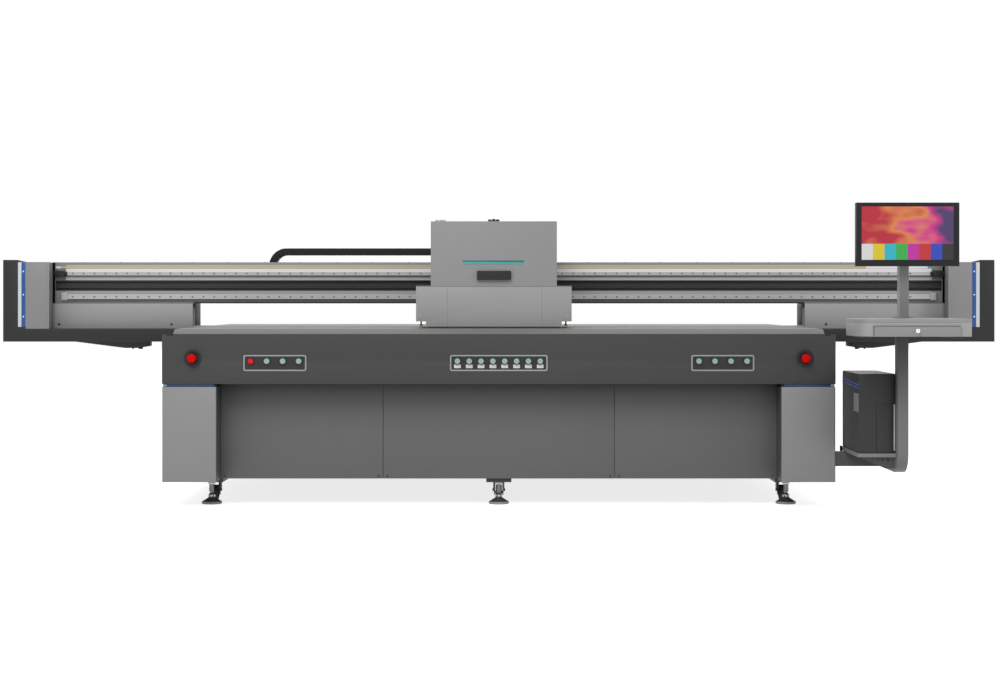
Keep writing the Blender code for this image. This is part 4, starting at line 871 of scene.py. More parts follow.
# ---------------------------------------------------------------------------
# The two linear rails on the beam's face: ground steel with a bolt every 60 mm. At each end a black
# buffer stops the carriage at the upper rail, and a bright bracket closes the lower one.
bolt_grey = mottled("bolt_grey", (0.10, 0.10, 0.10), 0.40, metallic=0.5, grain=700)
rail_face = mottled("rail_face", (0.40, 0.40, 0.40), 0.38, metallic=0.7, drift=0.03, grain=900,
                    stretch=(0.1, 1, 1))
for node, rise in (("x_rail_upper", 0.1650), ("x_rail_lower", 0.0365)):
    recoat(node, rail_face)
    low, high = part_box(node)
    count = int((high.x - low.x - 0.04) / BOLT_PITCH)
    bolt = rod("bolt", (low.x + 0.030, low.y + 0.0001, beam_foot + rise), 0.0036, 0.0008, "Y", 12)
    ring = tube("ring", (low.x + 0.030, low.y + 0.0001, beam_foot + rise), 0.0052, 0.0005, 0.0010, "Y", 12)
    bolts = row_of(joined(f"{node}_bolts", [bolt, ring]), count, (BOLT_PITCH, 0, 0))
    fitted(bolts, bolt_grey, node)
for side, name in ((-1, "left"), (1, "right")):
    body = block("buffer", (side * (rail_end + 0.014), beam_face - 0.030, beam_foot + 0.146),
                 (side * (rail_end + 0.074), beam_face - 0.0002, beam_foot + 0.182))
    nose = rod("nose", (side * (rail_end + 0.008), beam_face - 0.016, beam_foot + 0.164), 0.011, 0.016, "X")
    stop = joined(f"buffer_{name}", [rounded(body, 0.003), rounded(nose, 0.003, 3)])
    fitted(stop, moulding, "gantry_beam")
    plate = block("bracket", (side * (rail_end + 0.002), beam_face - 0.016, beam_foot + 0.018),
                  (side * (rail_end + 0.034), beam_face - 0.0002, beam_foot + 0.060))
    heads = [socket_screw((side * (rail_end + 0.018), beam_face - 0.016, beam_foot + z), 0.004, (0, -1, 0))
             for z in (0.028, 0.050)]
    fitted(joined(f"rail_bracket_{name}", [rounded(plate, 0.002)] + heads), strip_pale, "gantry_beam")

# ---------------------------------------------------------------------------
# The legs under the beam's ends: welded boxes in the pale coat, painted lighter as painted light, on their
# rail blocks, each with painted shade on the front of its inner side, a dark cover plate and a black cable
# bush on its inner side and two screws in front. A pale edge strip hides the joint between the beam and the
# housing.
# The legs' coat is the pale coat painted lighter: painted light.
LEG_LIT_GREY = (0.350, 0.350, 0.352)
leg_lit_coat = mottled("leg_powder_coat", LEG_LIT_GREY, 0.46, drift=0.03, grain=1400, relief=0.10)
leg_shade = mottled("leg_inner_coat", (0.150, 0.150, 0.152), 0.5, drift=0.03, grain=1400, relief=0.10,
                    specular=0.3)
leg_cover = mottled("leg_cover_coat", (0.030, 0.030, 0.031), 0.5, drift=0.03, grain=1400, specular=0.2)
COVER_FOOT = 0.884
beam_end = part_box("gantry_beam")[1].x
for side, name in ((-1, "left"), (1, "right")):
    node = f"gantry_leg_{name}"
    leg = dressed(node, leg_lit_coat, 0.0012)
    low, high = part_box(node)
    front, inner = low.y, side * leg_inner
    # The front of the inner side gets painted shade.
    repainted(leg, leg_shade,
              lambda centre, normal: side * normal.x < -0.9 and abs(centre.x - inner) < 0.003)
    slab(f"leg_cover_{name}", (inner - side * 0.0012, front + 0.085, COVER_FOOT),
         (inner + side * 0.004, high.y - 0.006, high.z - 0.014), 0.0008, leg_cover, node)
    bush = rod(f"leg_bush_{name}", (inner - side * 0.004, front + 0.03, high.z - 0.012), 0.009, 0.012, "X")
    fitted(rounded(bush, 0.002), moulding, node)
    heads = [socket_screw((side * (beam_end - inset), front, COVER_FOOT + 0.005), 0.007, (0, -1, 0))
             for inset in (0.655, 0.035)]
    fitted(joined(f"leg_screws_{name}", heads), screw_steel, node)
    near, far = side * (beam_end - 0.0135), side * (beam_end - 0.0005)
    strip = block("seal", (near, beam_face - 0.022, low.z + 0.062),
                  (far, beam_face - 0.0204, beam_head - 0.001))
    lip = block("lip", (near, beam_face - 0.022, beam_foot), (far, beam_face, beam_head - 0.001))
    fitted(rounded(joined(f"edge_strip_{name}", [strip, lip]), 0.0008), light_coat, "gantry_beam")

# ---------------------------------------------------------------------------
# End housings: pale folded boxes, with the front of their inner sides painted black as painted shade. A blue
# light strip with three lamps and a white diffuser stand side by side on the face of each, over a black foot.
DIFFUSER_WHITE = (0.62, 0.68, 0.71)
LAMP_GLOW = (0.50, 0.72, 1.0)
diffuser = mottled("white_diffuser", DIFFUSER_WHITE, 0.30, drift=0.03, grain=300, coat=0.5)
lamp_lens = mottled("lamp_lens", LAMP_GLOW, 0.20, drift=0.02, grain=300, coat=0.5)
lamp_shader = lamp_lens.node_tree.nodes["Principled BSDF"]
lamp_shader.inputs["Emission Color"].default_value = (0.35, 0.62, 1.0, 1)
lamp_shader.inputs["Emission Strength"].default_value = 0.35
BLACK_DEPTH = 0.040
for side, name in ((-1, "left"), (1, "right")):
    node = f"end_housing_{name}"
    housing = dressed(node, light_coat, 0.0020)
    low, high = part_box(node)
    edge, inner = (low.x, high.x) if side < 0 else (high.x, low.x)
    bpy.ops.object.mode_set(mode="EDIT")
    bpy.ops.mesh.select_all(action="SELECT")
    bpy.ops.mesh.bisect(plane_co=(0, low.y + BLACK_DEPTH, 0), plane_no=(0, 1, 0))
    bpy.ops.object.mode_set(mode="OBJECT")
    # The front of the inner side is painted black: painted shade beside the beam.
    repainted(housing, moulding, lambda centre, normal: side * normal.x < -0.9
              and abs(centre.x - inner) < 0.003 and centre.y < low.y + BLACK_DEPTH)
    slab(f"housing_flange_{name}", (inner - side * 0.0110, low.y, low.z + 0.001),
         (inner + side * 0.004, low.y + 0.008, high.z), 0.0015, light_coat, node)
    bottom, top = low.z + 0.010, high.z - 0.002
    slab(f"light_strip_{name}", (edge - side * 0.0405, low.y - 0.0025, bottom),
         (edge - side * 0.0215, low.y + 0.0003, top), 0.0010, blue_trim, node)
    lenses = []
    for share in (0.16, 0.50, 0.86):
        z = bottom + share * (top - bottom)
        lens = rod("lens", (edge - side * 0.031, low.y - 0.0030, z), 0.0042, 0.003, "Y", 24)
        lenses.append(rounded(lens, 0.001))
    fitted(joined(f"strip_lamps_{name}", lenses), lamp_lens, node)
    slab(f"diffuser_{name}", (edge - side * 0.0205, low.y - 0.0020, bottom),
         (edge - side * 0.0015, low.y + 0.0003, top), 0.0010, diffuser, node)
    slab(f"strip_foot_{name}", (edge - side * 0.0420, low.y - 0.0030, low.z + 0.001),
         (edge - side * 0.0005, low.y + 0.0003, bottom - 0.0005), 0.0010, moulding, node)
    slat = block(f"housing_louvres_{name}", (low.x + 0.03, high.y - 0.0005, low.z + 0.08),
                 (high.x - 0.03, high.y + 0.004, low.z + 0.087))
    fitted(row_of(rounded(slat, 0.002), 9, (0, 0, 0.022)), light_coat, node)

# ---------------------------------------------------------------------------
# End covers: dark folded covers with the arm that runs in under the leg, and the wedge shaped bracket
# below it with its two posts. The top steps down behind the front, and screws close the outside.
COVER_DARK = (0.031, 0.031, 0.032)
cover_coat = mottled("end_cover_coat", COVER_DARK, 0.50, drift=0.03, grain=1400, relief=0.10, specular=0.2)
for side, name in ((-1, "left"), (1, "right")):
    node = f"end_cover_{name}"
    cover = dressed(node, cover_coat, 0.0016)
    low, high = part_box(node)
    arm_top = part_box(f"end_housing_{name}")[0].z
    repainted(cover, dark_coat, lambda centre, normal: centre.z < arm_top + 0.0004 and normal.z > -0.9)
    picked_points(cover, lambda point: point.z > high.z - 0.003 and point.y > low.y + 0.2)
    bpy.ops.transform.translate(value=(0, 0, -0.016))
    bpy.ops.object.mode_set(mode="OBJECT")
    outer = low.x if side < 0 else high.x
    heads = [socket_screw((outer, y, z), 0.006, (side, 0, 0))
             for y in (low.y + 0.03, (low.y + high.y) / 2, high.y - 0.03)
             for z in (0.83, 1.02, high.z - 0.03)]
    fitted(joined(f"{node}_screws", heads), screw_steel, node)
    posts = [rod("post", (outer - side * inset, low.y + 0.15, low.z - 0.001), radius, 0.012, "Z", 24)
             for inset, radius in ((0.722, 0.012), (0.680, 0.005))]
    fitted(rounded(joined(f"wedge_posts_{name}", posts), 0.001), moulding, node)

# ---------------------------------------------------------------------------
# The cable chain: moulded links with round pivots between them, a run on the shelf, the bend, and a run to
# the carriage. Each run is made of short sections.
chain_black = mottled("chain_moulding", (0.013, 0.013, 0.014), 0.48, drift=0.05, grain=900, relief=0.05,
                      specular=0.2)


def chain_link(start, length, width, height, pivoted=True):
    """One link that begins at start and runs along X: two cheeks, two bars, two hoses and its pivots."""
    x, y, z = start
    end = x + length
    parts = []
    for near in (y, y + width - 0.008):
        cheek = block("cheek", (x + 0.0004, near + 0.001, z + 0.0005),
                      (end - 0.0004, near + 0.007, z + height - 0.0005))
        picked_edges(cheek, along_y)
        bpy.ops.mesh.bevel(offset=0.0015, segments=2)
        bpy.ops.object.mode_set(mode="OBJECT")
        parts.append(cheek)
        if pivoted:
            pivot = (x, near + 0.004, z + height / 2)
            parts.append(rod("pivot", pivot, height / 2 - 0.0008, 0.005, "Y", 32))
            parts.append(rounded(rod("boss", pivot, 0.0085, 0.0078, "Y", 16), 0.0008, 1))
    for foot in (z + 0.0005, z + height - 0.005):
        parts.append(block("bar", (x + 0.008, y + 0.002, foot),
                           (end - 0.008, y + width - 0.002, foot + 0.0045)))
    for share in (0.30, 0.62):
        parts.append(block("hose", (x, y + width * share, z + 0.010),
                           (end, y + width * (share + 0.16), z + height - 0.012)))
    return joined("link", parts)


low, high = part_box("chain_bend")
bend_centre = Vector((high.x, low.y, (low.z + high.z) / 2))
width, height = high.y - low.y, 0.04
middle_radius = (high.z - low.z) / 2 - height / 2
BEND_LINKS = 10
arc_length = math.pi * middle_radius / BEND_LINKS
links = []
for step in range(BEND_LINKS):
    angle = math.pi / 2 + math.pi * (step + 0.5) / BEND_LINKS
    link = chain_link((-arc_length / 2, 0, -height / 2), arc_length, width, height, step < BEND_LINKS - 1)
    turn = Matrix.Rotation(-(angle - math.pi / 2), 4, "Y")
    link.data.transform(Matrix.Translation(bend_centre) @ turn @ Matrix.Translation((0, 0, middle_radius)))
    links.append(link)
bend = joined("chain_links_bend", links)
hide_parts("chain_bend")
fitted(bend, chain_black, "chain_bend")
SECTION_LINKS = 4


def turn_place(share):
    """How far along a smooth turn from nought to one a share is reached."""
    return 0.5 - math.sin(math.asin(1 - 2 * share) / 3)


for node, far_share in (("chain_lower_run", 0.0), ("chain_upper_run", 1.0)):
    low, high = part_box(node)
    sections = round((high.x - low.x) / arc_length / SECTION_LINKS)
    length = (high.x - low.x) / sections
    pitch = length / SECTION_LINKS
    width, height = high.y - low.y, high.z - low.z
    end_link = chain_link(tuple(low), pitch, width, height, False)
    link = chain_link((low.x + pitch, low.y, low.z), pitch, width, height)
    first = joined("first", [end_link, row_of(link, SECTION_LINKS - 1, (pitch, 0, 0))])
    link = chain_link((low.x + length, low.y, low.z), pitch, width, height)
    second = row_of(link, SECTION_LINKS, (pitch, 0, 0))
    for section in (first, second):
        section.data.materials.append(chain_black)
        taken(section)
        bpy.ops.object.shade_smooth_by_angle(angle=SMOOTH_UP_TO)
    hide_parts(node)
    middle = ((low.y + high.y) / 2, (low.z + high.z) / 2)
    for number in range(sections):
        section = (first, second)[min(number, 1)]
        if number > 1:
            taken(second)
            bpy.ops.object.duplicate()
            section = bpy.context.object
            bpy.ops.transform.translate(value=(length * (number - 1), 0, 0))
            bpy.ops.object.transform_apply(location=True, rotation=True, scale=True)
        section.name = f"{node.replace('chain_', 'chain_links_')}_{number + 1}"
        shares = [0.5 + (far_share - 0.5) * step / sections for step in (number, number + 1)]
        near, far = (turn_place(share) for share in shares)
        reach = length / (far - near)
        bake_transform(section)

# ---------------------------------------------------------------------------
# The carriage plate with its rail blocks and the chain bracket, and inside the head the milled
# plate with the print heads and the two lamps.
HEAD_METAL = (0.45, 0.45, 0.46)
dressed("carriage_frame", enamel, 0.0008)
head_metal = mottled("milled_aluminium", HEAD_METAL, 0.32, metallic=0.85, drift=0.05, grain=900,
                     stretch=(0.15, 1, 1))
recoat("print_heads", head_metal)
lamp_case = mottled("lamp_case", (0.030, 0.030, 0.031), 0.42, drift=0.05, grain=900)
for name in ("left", "right"):
    node = f"uv_lamp_{name}"
    dressed(node, lamp_case, 0.002)
    low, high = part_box(node)
    fin = block(f"{node}_fins", (low.x + 0.006, low.y + 0.02, high.z - 0.0005),
                (high.x - 0.006, low.y + 0.024, high.z + 0.010))
    fitted(row_of(rounded(fin, 0.0008, 1), 56, (0, 0.0102, 0)), lamp_case, node)
middle, foot = middle_of("print_heads"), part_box("print_heads")[0].z
plate = block("nozzle_plates", (middle.x - 0.170, middle.y - 0.295, foot - 0.0008),
              (middle.x - 0.110, middle.y - 0.145, foot + 0.0005))
plates = row_of(row_of(rounded(plate, 0.0003, 1), 3, (0.14, 0, 0)), 3, (0, 0.22, 0))
fitted(plates, rail_steel, "print_heads")

# ---------------------------------------------------------------------------
# The head's shroud: pale folded steel, its front made of a middle door between two fixed sides, with
# a dark brush seal along the foot.
SEAM_DARK = (0.055, 0.055, 0.057)
seam_dark = mottled("seam_dark", SEAM_DARK, 0.6, grain=900, specular=0.2)
seam_soft = mottled("seam_soft", (0.17, 0.17, 0.172), 0.6, grain=900)
shroud_coat = mottled("shroud_powder_coat", (0.315, 0.315, 0.318), 0.46, drift=0.03, grain=1400, relief=0.10)
dressed("carriage_shroud", shroud_coat, 0.0012)
low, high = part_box("carriage_shroud")
front = low.y
seams = []
for x in (low.x + 0.1579, high.x - 0.1506):
    seams.append(block("seam", (x - 0.0008, front - 0.0002, low.z + 0.006),
                       (x + 0.0008, front + 0.0002, high.z - 0.001)))
fitted(rounded(joined("shroud_seams", seams), 0.0001, 1), seam_soft, "carriage_shroud")
slab("shroud_brush", (low.x + 0.056, front - 0.0008, low.z + 0.0012),
     (high.x - 0.056, front + 0.0005, low.z + 0.0050), 0.0004, seam_dark, "carriage_shroud", 1)
heads = []
for x in (low.x + 0.02, high.x - 0.02):
    for z in (low.z + 0.06, high.z - 0.02):
        heads.append(socket_screw((x, front, z), 0.0035, (0, -1, 0), 0.0012))
for side, x in ((-1, low.x), (1, high.x)):
    for y in (front + 0.05, (low.y + high.y) / 2, high.y - 0.05):
        heads.append(socket_screw((x, y, high.z - 0.03), 0.004, (side, 0, 0)))
fitted(joined("shroud_screws", heads), zinc, "carriage_shroud")

# ---------------------------------------------------------------------------
# Crash sensors in the notches beside the shroud's foot: brass blocks with a black switch pin, which
# stop the head before it meets a lifted sheet.
BRASS = (0.36, 0.29, 0.11)
brass = mottled("sensor_brass", BRASS, 0.35, metallic=0.7, drift=0.12, grain=500)
for name, x in (("left", low.x + 0.0255), ("right", high.x - 0.0295)):
    base = block("base", (x - 0.012, front + 0.004, low.z + 0.003), (x + 0.012, front + 0.020, low.z + 0.010))
    ring = rod("ring", (x, front + 0.012, low.z + 0.013), 0.009, 0.006, "Z", 24)
    sensor = joined(f"crash_sensor_{name}", [rounded(base, 0.001), rounded(ring, 0.001)])
    fitted(sensor, brass, "carriage_shroud")
    pin = rod("pin", (x, front + 0.012, low.z + 0.0235), 0.0040, 0.015, "Z", 20)
    cap = rod("cap", (x, front + 0.0035, low.z + 0.014), 0.0055, 0.003, "Y", 20)
    switch = joined(f"sensor_pin_{name}", [rounded(pin, 0.0008), rounded(cap, 0.0008)])
    fitted(switch, moulding, "carriage_shroud")

# ---------------------------------------------------------------------------
# The head's top cover: one pale folded cover. A teal light bar and a black handle are on its front,
# and a lifting knob group and two hose caps on its top.
TEAL_DARK = (0.012, 0.120, 0.135)
TEAL_LIGHT = (0.020, 0.330, 0.330)
teal_frame = mottled("teal_frame", TEAL_DARK, 0.35, drift=0.06, grain=500, coat=0.3)
teal_lens = mottled("teal_lens", TEAL_LIGHT, 0.25, drift=0.06, grain=300, coat=0.5)
teal_shader = teal_lens.node_tree.nodes["Principled BSDF"]
teal_shader.inputs["Emission Color"].default_value = (0.02, 0.42, 0.42, 1)
teal_shader.inputs["Emission Strength"].default_value = 0.12
dressed("head_cover", light_coat, 0.0030, 3)
low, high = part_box("head_cover")
cover_left = (low.x + high.x) / 2 - 0.318
cover_right = cover_left + 0.636
bar = (cover_left + 0.162, cover_left + 0.470)
bar_foot, bar_middle, bar_top = high.z - 0.2155, high.z - 0.2065, high.z - 0.1975
slab("light_bar_frame", (bar[0], front - 0.0015, bar_middle), (bar[1], front + 0.0003, bar_top),
     0.0006, teal_frame, "head_cover")
slab("light_bar_lens", (bar[0] + 0.001, front - 0.0022, bar_foot),
     (bar[1] - 0.001, front + 0.0003, bar_middle), 0.0010, teal_lens, "head_cover")
grip = block("cover_handle", (cover_left + 0.2330, front - 0.020, high.z - 0.2950),
             (cover_left + 0.4045, front + 0.0003, high.z - 0.2500))
picked(grip, lambda centre, normal: normal.z < -0.9)
bpy.ops.mesh.inset(thickness=0.004)
bpy.ops.mesh.extrude_region_move(TRANSFORM_OT_translate={"value": (0, 0, 0.030)})
bpy.ops.object.mode_set(mode="OBJECT")
fitted(rounded(grip, 0.0025, 3), moulding, "head_cover")
knobs = []
for x, rise in ((0.298, 0.0105), (0.3175, 0.0130), (0.337, 0.0105)):
    centre = (cover_left + x, front + 0.03, high.z + rise / 2)
    knobs.append(rounded(rod("knob", centre, 0.0085, rise), 0.002, 3))
plate = block("knob_plate", (cover_left + 0.288, front + 0.018, high.z - 0.0002),
              (cover_left + 0.347, front + 0.042, high.z + 0.005))
fitted(joined("lifting_knobs", knobs + [rounded(plate, 0.0008)]), moulding, "head_cover")
caps = [rounded(rod("cap", (cover_left + x, front + 0.04, high.z + 0.0040), 0.0085, 0.009, "Z", 24), 0.0015)
        for x in (0.030, 0.050, 0.066)]
fitted(joined("hose_caps", caps), strip_pale, "head_cover")
slats, heads = [], []
for side, x in ((-1, cover_left), (1, cover_right)):
    slat = block("slat", (x - side * 0.0005, front + 0.30, high.z - 0.12),
                 (x + side * 0.004, front + 0.56, high.z - 0.113))
    slats.append(row_of(rounded(slat, 0.0025), 5, (0, 0, 0.020)))
    for y in (front + 0.05, front + 0.44, front + 0.82):
        for z in (high.z - 0.29, high.z - 0.03):
            heads.append(socket_screw((x, y, z), 0.004, (side, 0, 0)))
fitted(joined("cover_louvres", slats), light_coat, "head_cover")
fitted(joined("cover_screws", heads), zinc, "head_cover")

# ---------------------------------------------------------------------------
# The operator's stand: a bent and welded steel column, its coat painted darker towards its top as the desk's
# painted shadow and with painted shade on its rear part below the tray, with the computer's tray. The tray is
# a pale plate with a black edge cap at its outer end, stiffened by a slotted gusset.
STAND_GREY = (0.175, 0.175, 0.177)
TRAY_GREY = (0.190, 0.190, 0.192)
TRAY_THICK = 0.0205
stand_coat = mottled("stand_coat", STAND_GREY, 0.45, drift=0.04, grain=1400, relief=0.10, specular=0.3)
tray_coat = mottled("tray_coat", TRAY_GREY, 0.45, drift=0.03, grain=1400, relief=0.08)
stand_low, stand_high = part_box("stand_column")
# Painted shadow of the desk, darkest at the column's top.
painted_shade_by_height(stand_coat, stand_high.z, stand_low.z + 0.20, 0.52)
stand = dressed("stand_column", stand_coat, 0.0015)
computer_low, computer_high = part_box("computer")
tray_top = computer_low.z - 0.0003
tray_foot = tray_top - TRAY_THICK
repainted(stand, tray_coat, lambda centre, normal: tray_foot < centre.z < tray_top + 0.001
          and centre.x < computer_high.x + 0.0017)
# Painted shade on the column's rear part below the tray.
repainted(stand, shade_coat, lambda centre, normal: centre.y > stand_low.y + 0.068 and centre.z < tray_foot)
tray_left, tray_front = computer_low.x - 0.0035, computer_low.y
slab("tray_edge_cap", (tray_left - 0.006, tray_front + 0.425, tray_top - 0.022),
     (tray_left + 0.003, tray_front + 0.453, tray_top + 0.004), 0.0015, moulding, "stand_column")
slots = []
for step in range(4):
    x = tray_left + 0.070 + 0.024 * step
    slots.append(block("slot", (x, tray_front + 0.0192, tray_top - 0.027 - 0.005 * step),
                       (x + 0.008, tray_front + 0.0205, tray_top - 0.0225)))
fitted(rounded(joined("gusset_slots", slots), 0.0002, 1), seam_dark, "stand_column")

# ---------------------------------------------------------------------------
# The computer: a black sheet steel tower whose top is painted grey as a painted reflection. Its moulded front
# has a door in a dark gap and a bright edge trim, the left side two sloping blue trim lines and a vent plate,
# the back a fan guard.
CASE_DARK = (0.040, 0.040, 0.041)
CASE_FRONT = (0.032, 0.032, 0.033)
CASE_TOP_REFLECTION = (0.30, 0.29, 0.295)
case_steel = mottled("case_steel", CASE_DARK, 0.45, drift=0.04, grain=1600, relief=0.08, specular=0.25)
case_front = mottled("case_front", CASE_FRONT, 0.38, drift=0.04, grain=1200, relief=0.05, specular=0.25)
case_top_painted_reflection = mottled("case_top_painted_reflection", CASE_TOP_REFLECTION, 0.40, drift=0.04, grain=1200, relief=0.05)
case_trim = mottled("case_trim", (0.42, 0.42, 0.43), 0.35, metallic=0.5, grain=600)
case = dressed("computer", case_steel, 0)
low, high = computer_low, computer_high
# The top is painted grey: a painted reflection of the light on it.
repainted(case, case_top_painted_reflection, lambda centre, normal: normal.z > 0.9 and centre.z > high.z - 0.003)
repainted(case, case_front, lambda centre, normal: normal.y < -0.9)
ring = round_plate("computer_door_gap", (low.x + 0.0835, low.y - 0.0008, low.z + 0.0035),
                   (high.x - 0.009, low.y + 0.002, low.z + 0.2345), 0.012)
fitted(rounded(ring, 0.0004, 1), moulding, "computer")
door = round_plate("computer_door", (low.x + 0.086, low.y - 0.0030, low.z + 0.006),
                   (high.x - 0.010, low.y + 0.002, low.z + 0.232), 0.010)
fitted(rounded(door, 0.0012), case_front, "computer")
slab("computer_trim", (high.x - 0.0085, low.y - 0.0035, low.z + 0.012),
     (high.x - 0.001, low.y + 0.001, low.z + 0.232), 0.0010, case_trim, "computer")
lines = []
for front_drop, back_drop, thickness in ((0.058, 0.040, 0.0075), (0.073, 0.055, 0.0060)):
    line = block("line", (low.x - 0.0008, low.y + 0.001, high.z - front_drop),
                 (low.x + 0.001, high.y - 0.004, high.z - front_drop + thickness))
    picked(line, lambda centre, normal: normal.y > 0.9)
    bpy.ops.transform.translate(value=(0, 0, front_drop - back_drop))
    bpy.ops.object.mode_set(mode="OBJECT")
    lines.append(line)
fitted(rounded(joined("computer_blue_lines", lines), 0.0003, 1), blue_trim, "computer")
slab("computer_vent_plate", (low.x - 0.0012, low.y + 0.002, low.z + 0.195),
     (low.x + 0.001, low.y + 0.120, low.z + 0.282), 0.0010, strip_grey, "computer")
slit = block("slit", (high.x - 0.0006, low.y + 0.12, low.z + 0.08),
             (high.x + 0.0006, low.y + 0.28, low.z + 0.084))
slot_cover = block("slot_cover", (low.x + 0.030, high.y - 0.001, low.z + 0.04),
                   (high.x - 0.030, high.y + 0.0012, low.z + 0.054))
grilles = [row_of(slit, 14, (0, 0, 0.012)), row_of(slot_cover, 5, (0, 0, 0.02))]
fan_centre = ((low.x + high.x) / 2, high.y, low.z + 0.26)
grilles.append(tube("fan_guard", fan_centre, 0.058, 0.004, 0.004, "Y", 48))
grilles.append(tube("fan_inner", fan_centre, 0.036, 0.004, 0.003, "Y", 48))
fitted(rounded(joined("computer_grilles", grilles), 0.0002, 1), screw_steel, "computer")

# ---------------------------------------------------------------------------
# The desk and its drawer: grey laminated board with its lip along the top painted darker as painted shade,
# set off by a groove.
# The drawer's front is set in a dark gap and has a turned and polished knob.
DESK_GREY = (0.345, 0.345, 0.348)
LIP_SHADE = (0.285, 0.285, 0.288)
desk_board = mottled("desk_laminate", DESK_GREY, 0.42, drift=0.03, grain=1600, relief=0.05)
drawer_board = mottled("drawer_laminate", (0.270, 0.270, 0.273), 0.42, drift=0.03, grain=1600, relief=0.05)
knob_chrome = mottled("knob_chrome", (0.72, 0.72, 0.73), 0.16, metallic=1.0, drift=0.02, grain=200,
                      relief=0.01)
desk = dressed("desk", desk_board, 0.0040, 3)
desk_lip_shade = mottled("desk_lip_painted_shade", LIP_SHADE, 0.42, drift=0.03, grain=1600, relief=0.05)
low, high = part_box("desk")
LIP_DROP, GROOVE = 0.0165, 0.0009
bpy.ops.object.mode_set(mode="EDIT")
for z in (high.z - LIP_DROP - GROOVE, high.z - LIP_DROP + GROOVE):
    bpy.ops.mesh.select_all(action="SELECT")
    bpy.ops.mesh.bisect(plane_co=(0, 0, z), plane_no=(0, 0, 1))
bpy.ops.object.mode_set(mode="OBJECT")
# The lip and top above the groove are painted darker: painted shade.
repainted(desk, desk_lip_shade, lambda centre, normal: centre.z > high.z - LIP_DROP + GROOVE)
repainted(desk, strip_grey,
          lambda centre, normal: abs(centre.z - high.z + LIP_DROP) < GROOVE and abs(normal.z) < 0.1)
drawer = dressed("drawer", drawer_board, 0.0008)
drawer_low, drawer_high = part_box("drawer")
repainted(drawer, knob_chrome, lambda centre, normal: centre.y < low.y - 0.0135)
GAP = 0.0022
outline = []
for x in (drawer_low.x - GAP, drawer_high.x + 0.0002):
    outline.append(block("side", (x, low.y - 0.0012, drawer_low.z),
                         (x + GAP - 0.0002, low.y + 0.0005, drawer_high.z + GAP)))
outline.append(block("top", (drawer_low.x - GAP, low.y - 0.0012, drawer_high.z + 0.0004),
                     (drawer_high.x + GAP, low.y + 0.0005, drawer_high.z + GAP)))
fitted(rounded(joined("drawer_gap", outline), 0.0002, 1), seam_dark, "desk")
under = [block("rail", (x, low.y + 0.03, low.z - 0.0080), (x + 0.012, high.y - 0.02, low.z + 0.0005))
         for x in (low.x + 0.05, high.x - 0.05)]
fitted(rounded(joined("desk_stiffeners", under), 0.001), enamel, "desk")

# ---------------------------------------------------------------------------
# The post and the monitor: a square tube with a foot flange and a hinge at its top, its left side painted
# paler as painted light, and a flat screen in a dark moulded bezel. The screen shows a plain test chart of
# this machine's own.
POST_GREY = (0.235, 0.235, 0.238)
POST_LIT_GREY = (0.42, 0.42, 0.423)
BEZEL = (0.013, 0.013, 0.0135)
post_coat = mottled("post_coat", POST_GREY, 0.42, drift=0.03, grain=1400, relief=0.08)
bezel_moulding = mottled("bezel_moulding", BEZEL, 0.40, drift=0.04, grain=1500, relief=0.05, specular=0.2)
post = dressed("monitor_post", post_coat, 0.0020)
post_painted_light = mottled("post_pale_side", POST_LIT_GREY, 0.42, drift=0.03, grain=1400, relief=0.08)
low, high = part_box("monitor_post")
# The post's left side is painted paler: painted light on the side that faces the light.
repainted(post, post_painted_light, lambda centre, normal: normal.x < -0.9 and centre.x < low.x + 0.002)
flange = block("flange", (low.x - 0.022, high.y - 0.058, low.z - 0.0002),
               (high.x + 0.022, high.y, low.z + 0.006))
heads = [socket_screw((x, high.y - 0.029, low.z + 0.006), 0.005, (0, 0, 1))
         for x in (low.x - 0.011, high.x + 0.011)]
fitted(joined("post_flange", [rounded(flange, 0.0015)] + heads), post_coat, "monitor_post")
dressed("monitor", bezel_moulding, 0.0025, 3)
low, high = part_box("monitor")
BEZEL_LEFT, BEZEL_RIGHT, BEZEL_TOP, BEZEL_FOOT = 0.0235, 0.0265, 0.0185, 0.0300
screen = block("screen", (low.x + BEZEL_LEFT, low.y - 0.0006, low.z + BEZEL_FOOT),
               (high.x - BEZEL_RIGHT, low.y + 0.001, high.z - BEZEL_TOP))
picked(screen, to_front)
bpy.ops.mesh.inset(thickness=0.0012)
bpy.ops.object.mode_set(mode="OBJECT")
screen.data.materials.append(moulding)
chart = bpy.data.materials.new("test_chart")
chart.use_nodes = True
nodes, links = chart.node_tree.nodes, chart.node_tree.links
shader = nodes["Principled BSDF"]
place = nodes.new("ShaderNodeTexCoord")
centred = nodes.new("ShaderNodeMapping")
screen_width = high.x - low.x - BEZEL_LEFT - BEZEL_RIGHT
screen_height = high.z - low.z - BEZEL_FOOT - BEZEL_TOP
centred.inputs["Scale"].default_value = (1 / screen_width, 1, 1 / screen_height)
centred.inputs["Location"].default_value = (
    -(low.x + BEZEL_LEFT) / screen_width, 0, -(low.z + BEZEL_FOOT) / screen_height)
links.new(place.outputs["Object"], centred.inputs["Vector"])
split = nodes.new("ShaderNodeSeparateXYZ")
links.new(centred.outputs["Vector"], split.inputs["Vector"])
BAR_COLOURS = [(0.60, 0.60, 0.60), (0.62, 0.48, 0.02), (0.02, 0.40, 0.48), (0.03, 0.36, 0.06),
               (0.45, 0.02, 0.30), (0.48, 0.02, 0.02), (0.02, 0.05, 0.40), (0.015, 0.015, 0.015)]
GLOW_COLOURS = [(0.25, (0.42, 0.01, 0.03)), (0.42, (0.62, 0.20, 0.06)), (0.58, (0.55, 0.02, 0.22)),
                (0.75, (0.06, 0.03, 0.12))]


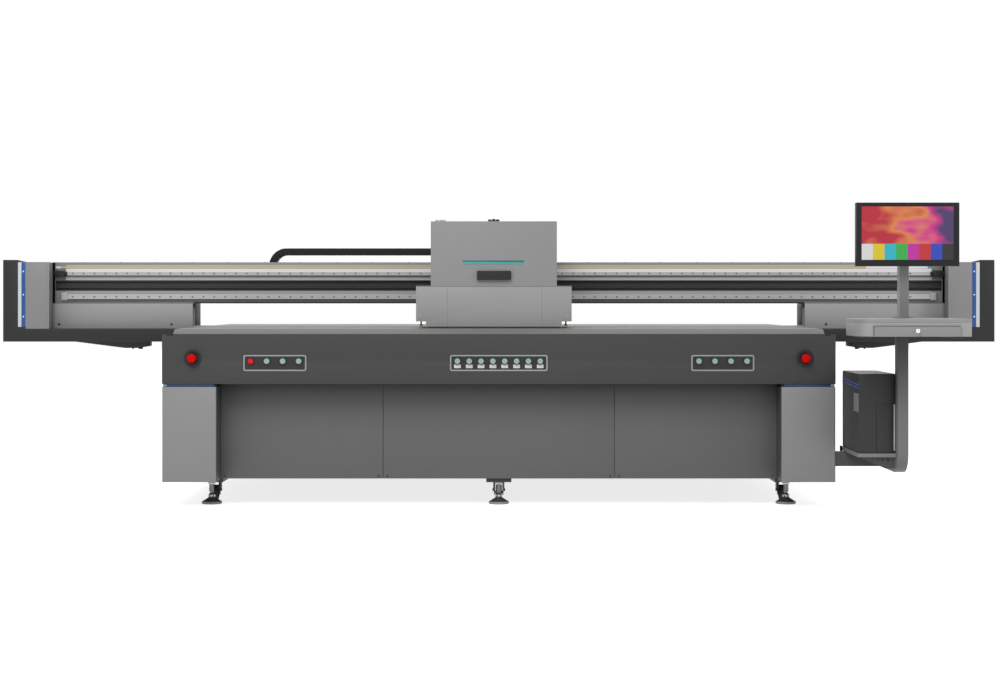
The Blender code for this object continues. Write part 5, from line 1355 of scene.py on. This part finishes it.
def colour_ramp(stops):
    """A ramp with a colour at each place."""
    ramp = nodes.new("ShaderNodeValToRGB")
    for number, (position, colour) in enumerate(stops):
        stop = ramp.color_ramp.elements[number] if number < 2 else ramp.color_ramp.elements.new(position)
        stop.position = position
        stop.color = (*colour, 1)
    return ramp


bars = colour_ramp([(number / len(BAR_COLOURS), colour) for number, colour in enumerate(BAR_COLOURS)])
bars.color_ramp.interpolation = "CONSTANT"
links.new(split.outputs["X"], bars.inputs["Fac"])
glow = colour_ramp(GLOW_COLOURS)
wave = nodes.new("ShaderNodeTexNoise")
wave.inputs["Scale"].default_value = 3.0
wave.inputs["Detail"].default_value = 1.5
links.new(centred.outputs["Vector"], wave.inputs["Vector"])
mixed = nodes.new("ShaderNodeMath")
mixed.operation = "MULTIPLY_ADD"
mixed.inputs[1].default_value = 0.9
links.new(wave.outputs["Fac"], mixed.inputs[0])
slope = nodes.new("ShaderNodeMath")
slope.operation = "MULTIPLY_ADD"
slope.inputs[1].default_value = 0.55
slope.inputs[2].default_value = -0.25
links.new(split.outputs["X"], slope.inputs[0])
links.new(slope.outputs[0], mixed.inputs[2])
links.new(mixed.outputs[0], glow.inputs["Fac"])
level = nodes.new("ShaderNodeMath")
level.operation = "GREATER_THAN"
level.inputs[1].default_value = 0.30
links.new(split.outputs["Z"], level.inputs[0])
picture = nodes.new("ShaderNodeMix")
picture.data_type = "RGBA"
links.new(level.outputs[0], picture.inputs[0])
links.new(bars.outputs["Color"], picture.inputs[6])
links.new(glow.outputs["Color"], picture.inputs[7])
links.new(picture.outputs[2], shader.inputs["Base Color"])
links.new(picture.outputs[2], shader.inputs["Emission Color"])
shader.inputs["Emission Strength"].default_value = 0.12
shader.inputs["Roughness"].default_value = 0.18
repainted(screen, chart,
          lambda centre, normal: normal.y < -0.9 and abs(centre.x - (low.x + high.x) / 2) < 0.05)
fitted(screen, chart, "monitor")
shell = block("shell", (low.x + 0.05, low.y + 0.0385, low.z + 0.04),
              (high.x - 0.05, low.y + 0.0465, high.z - 0.04))
slit = block("slit", (low.x + 0.09, low.y + 0.0462, high.z - 0.060),
             (high.x - 0.09, low.y + 0.0472, high.z - 0.057))
back = [rounded(shell, 0.004, 3), row_of(slit, 10, (0, 0, -0.007))]
fitted(joined("monitor_back", back), bezel_moulding, "monitor")
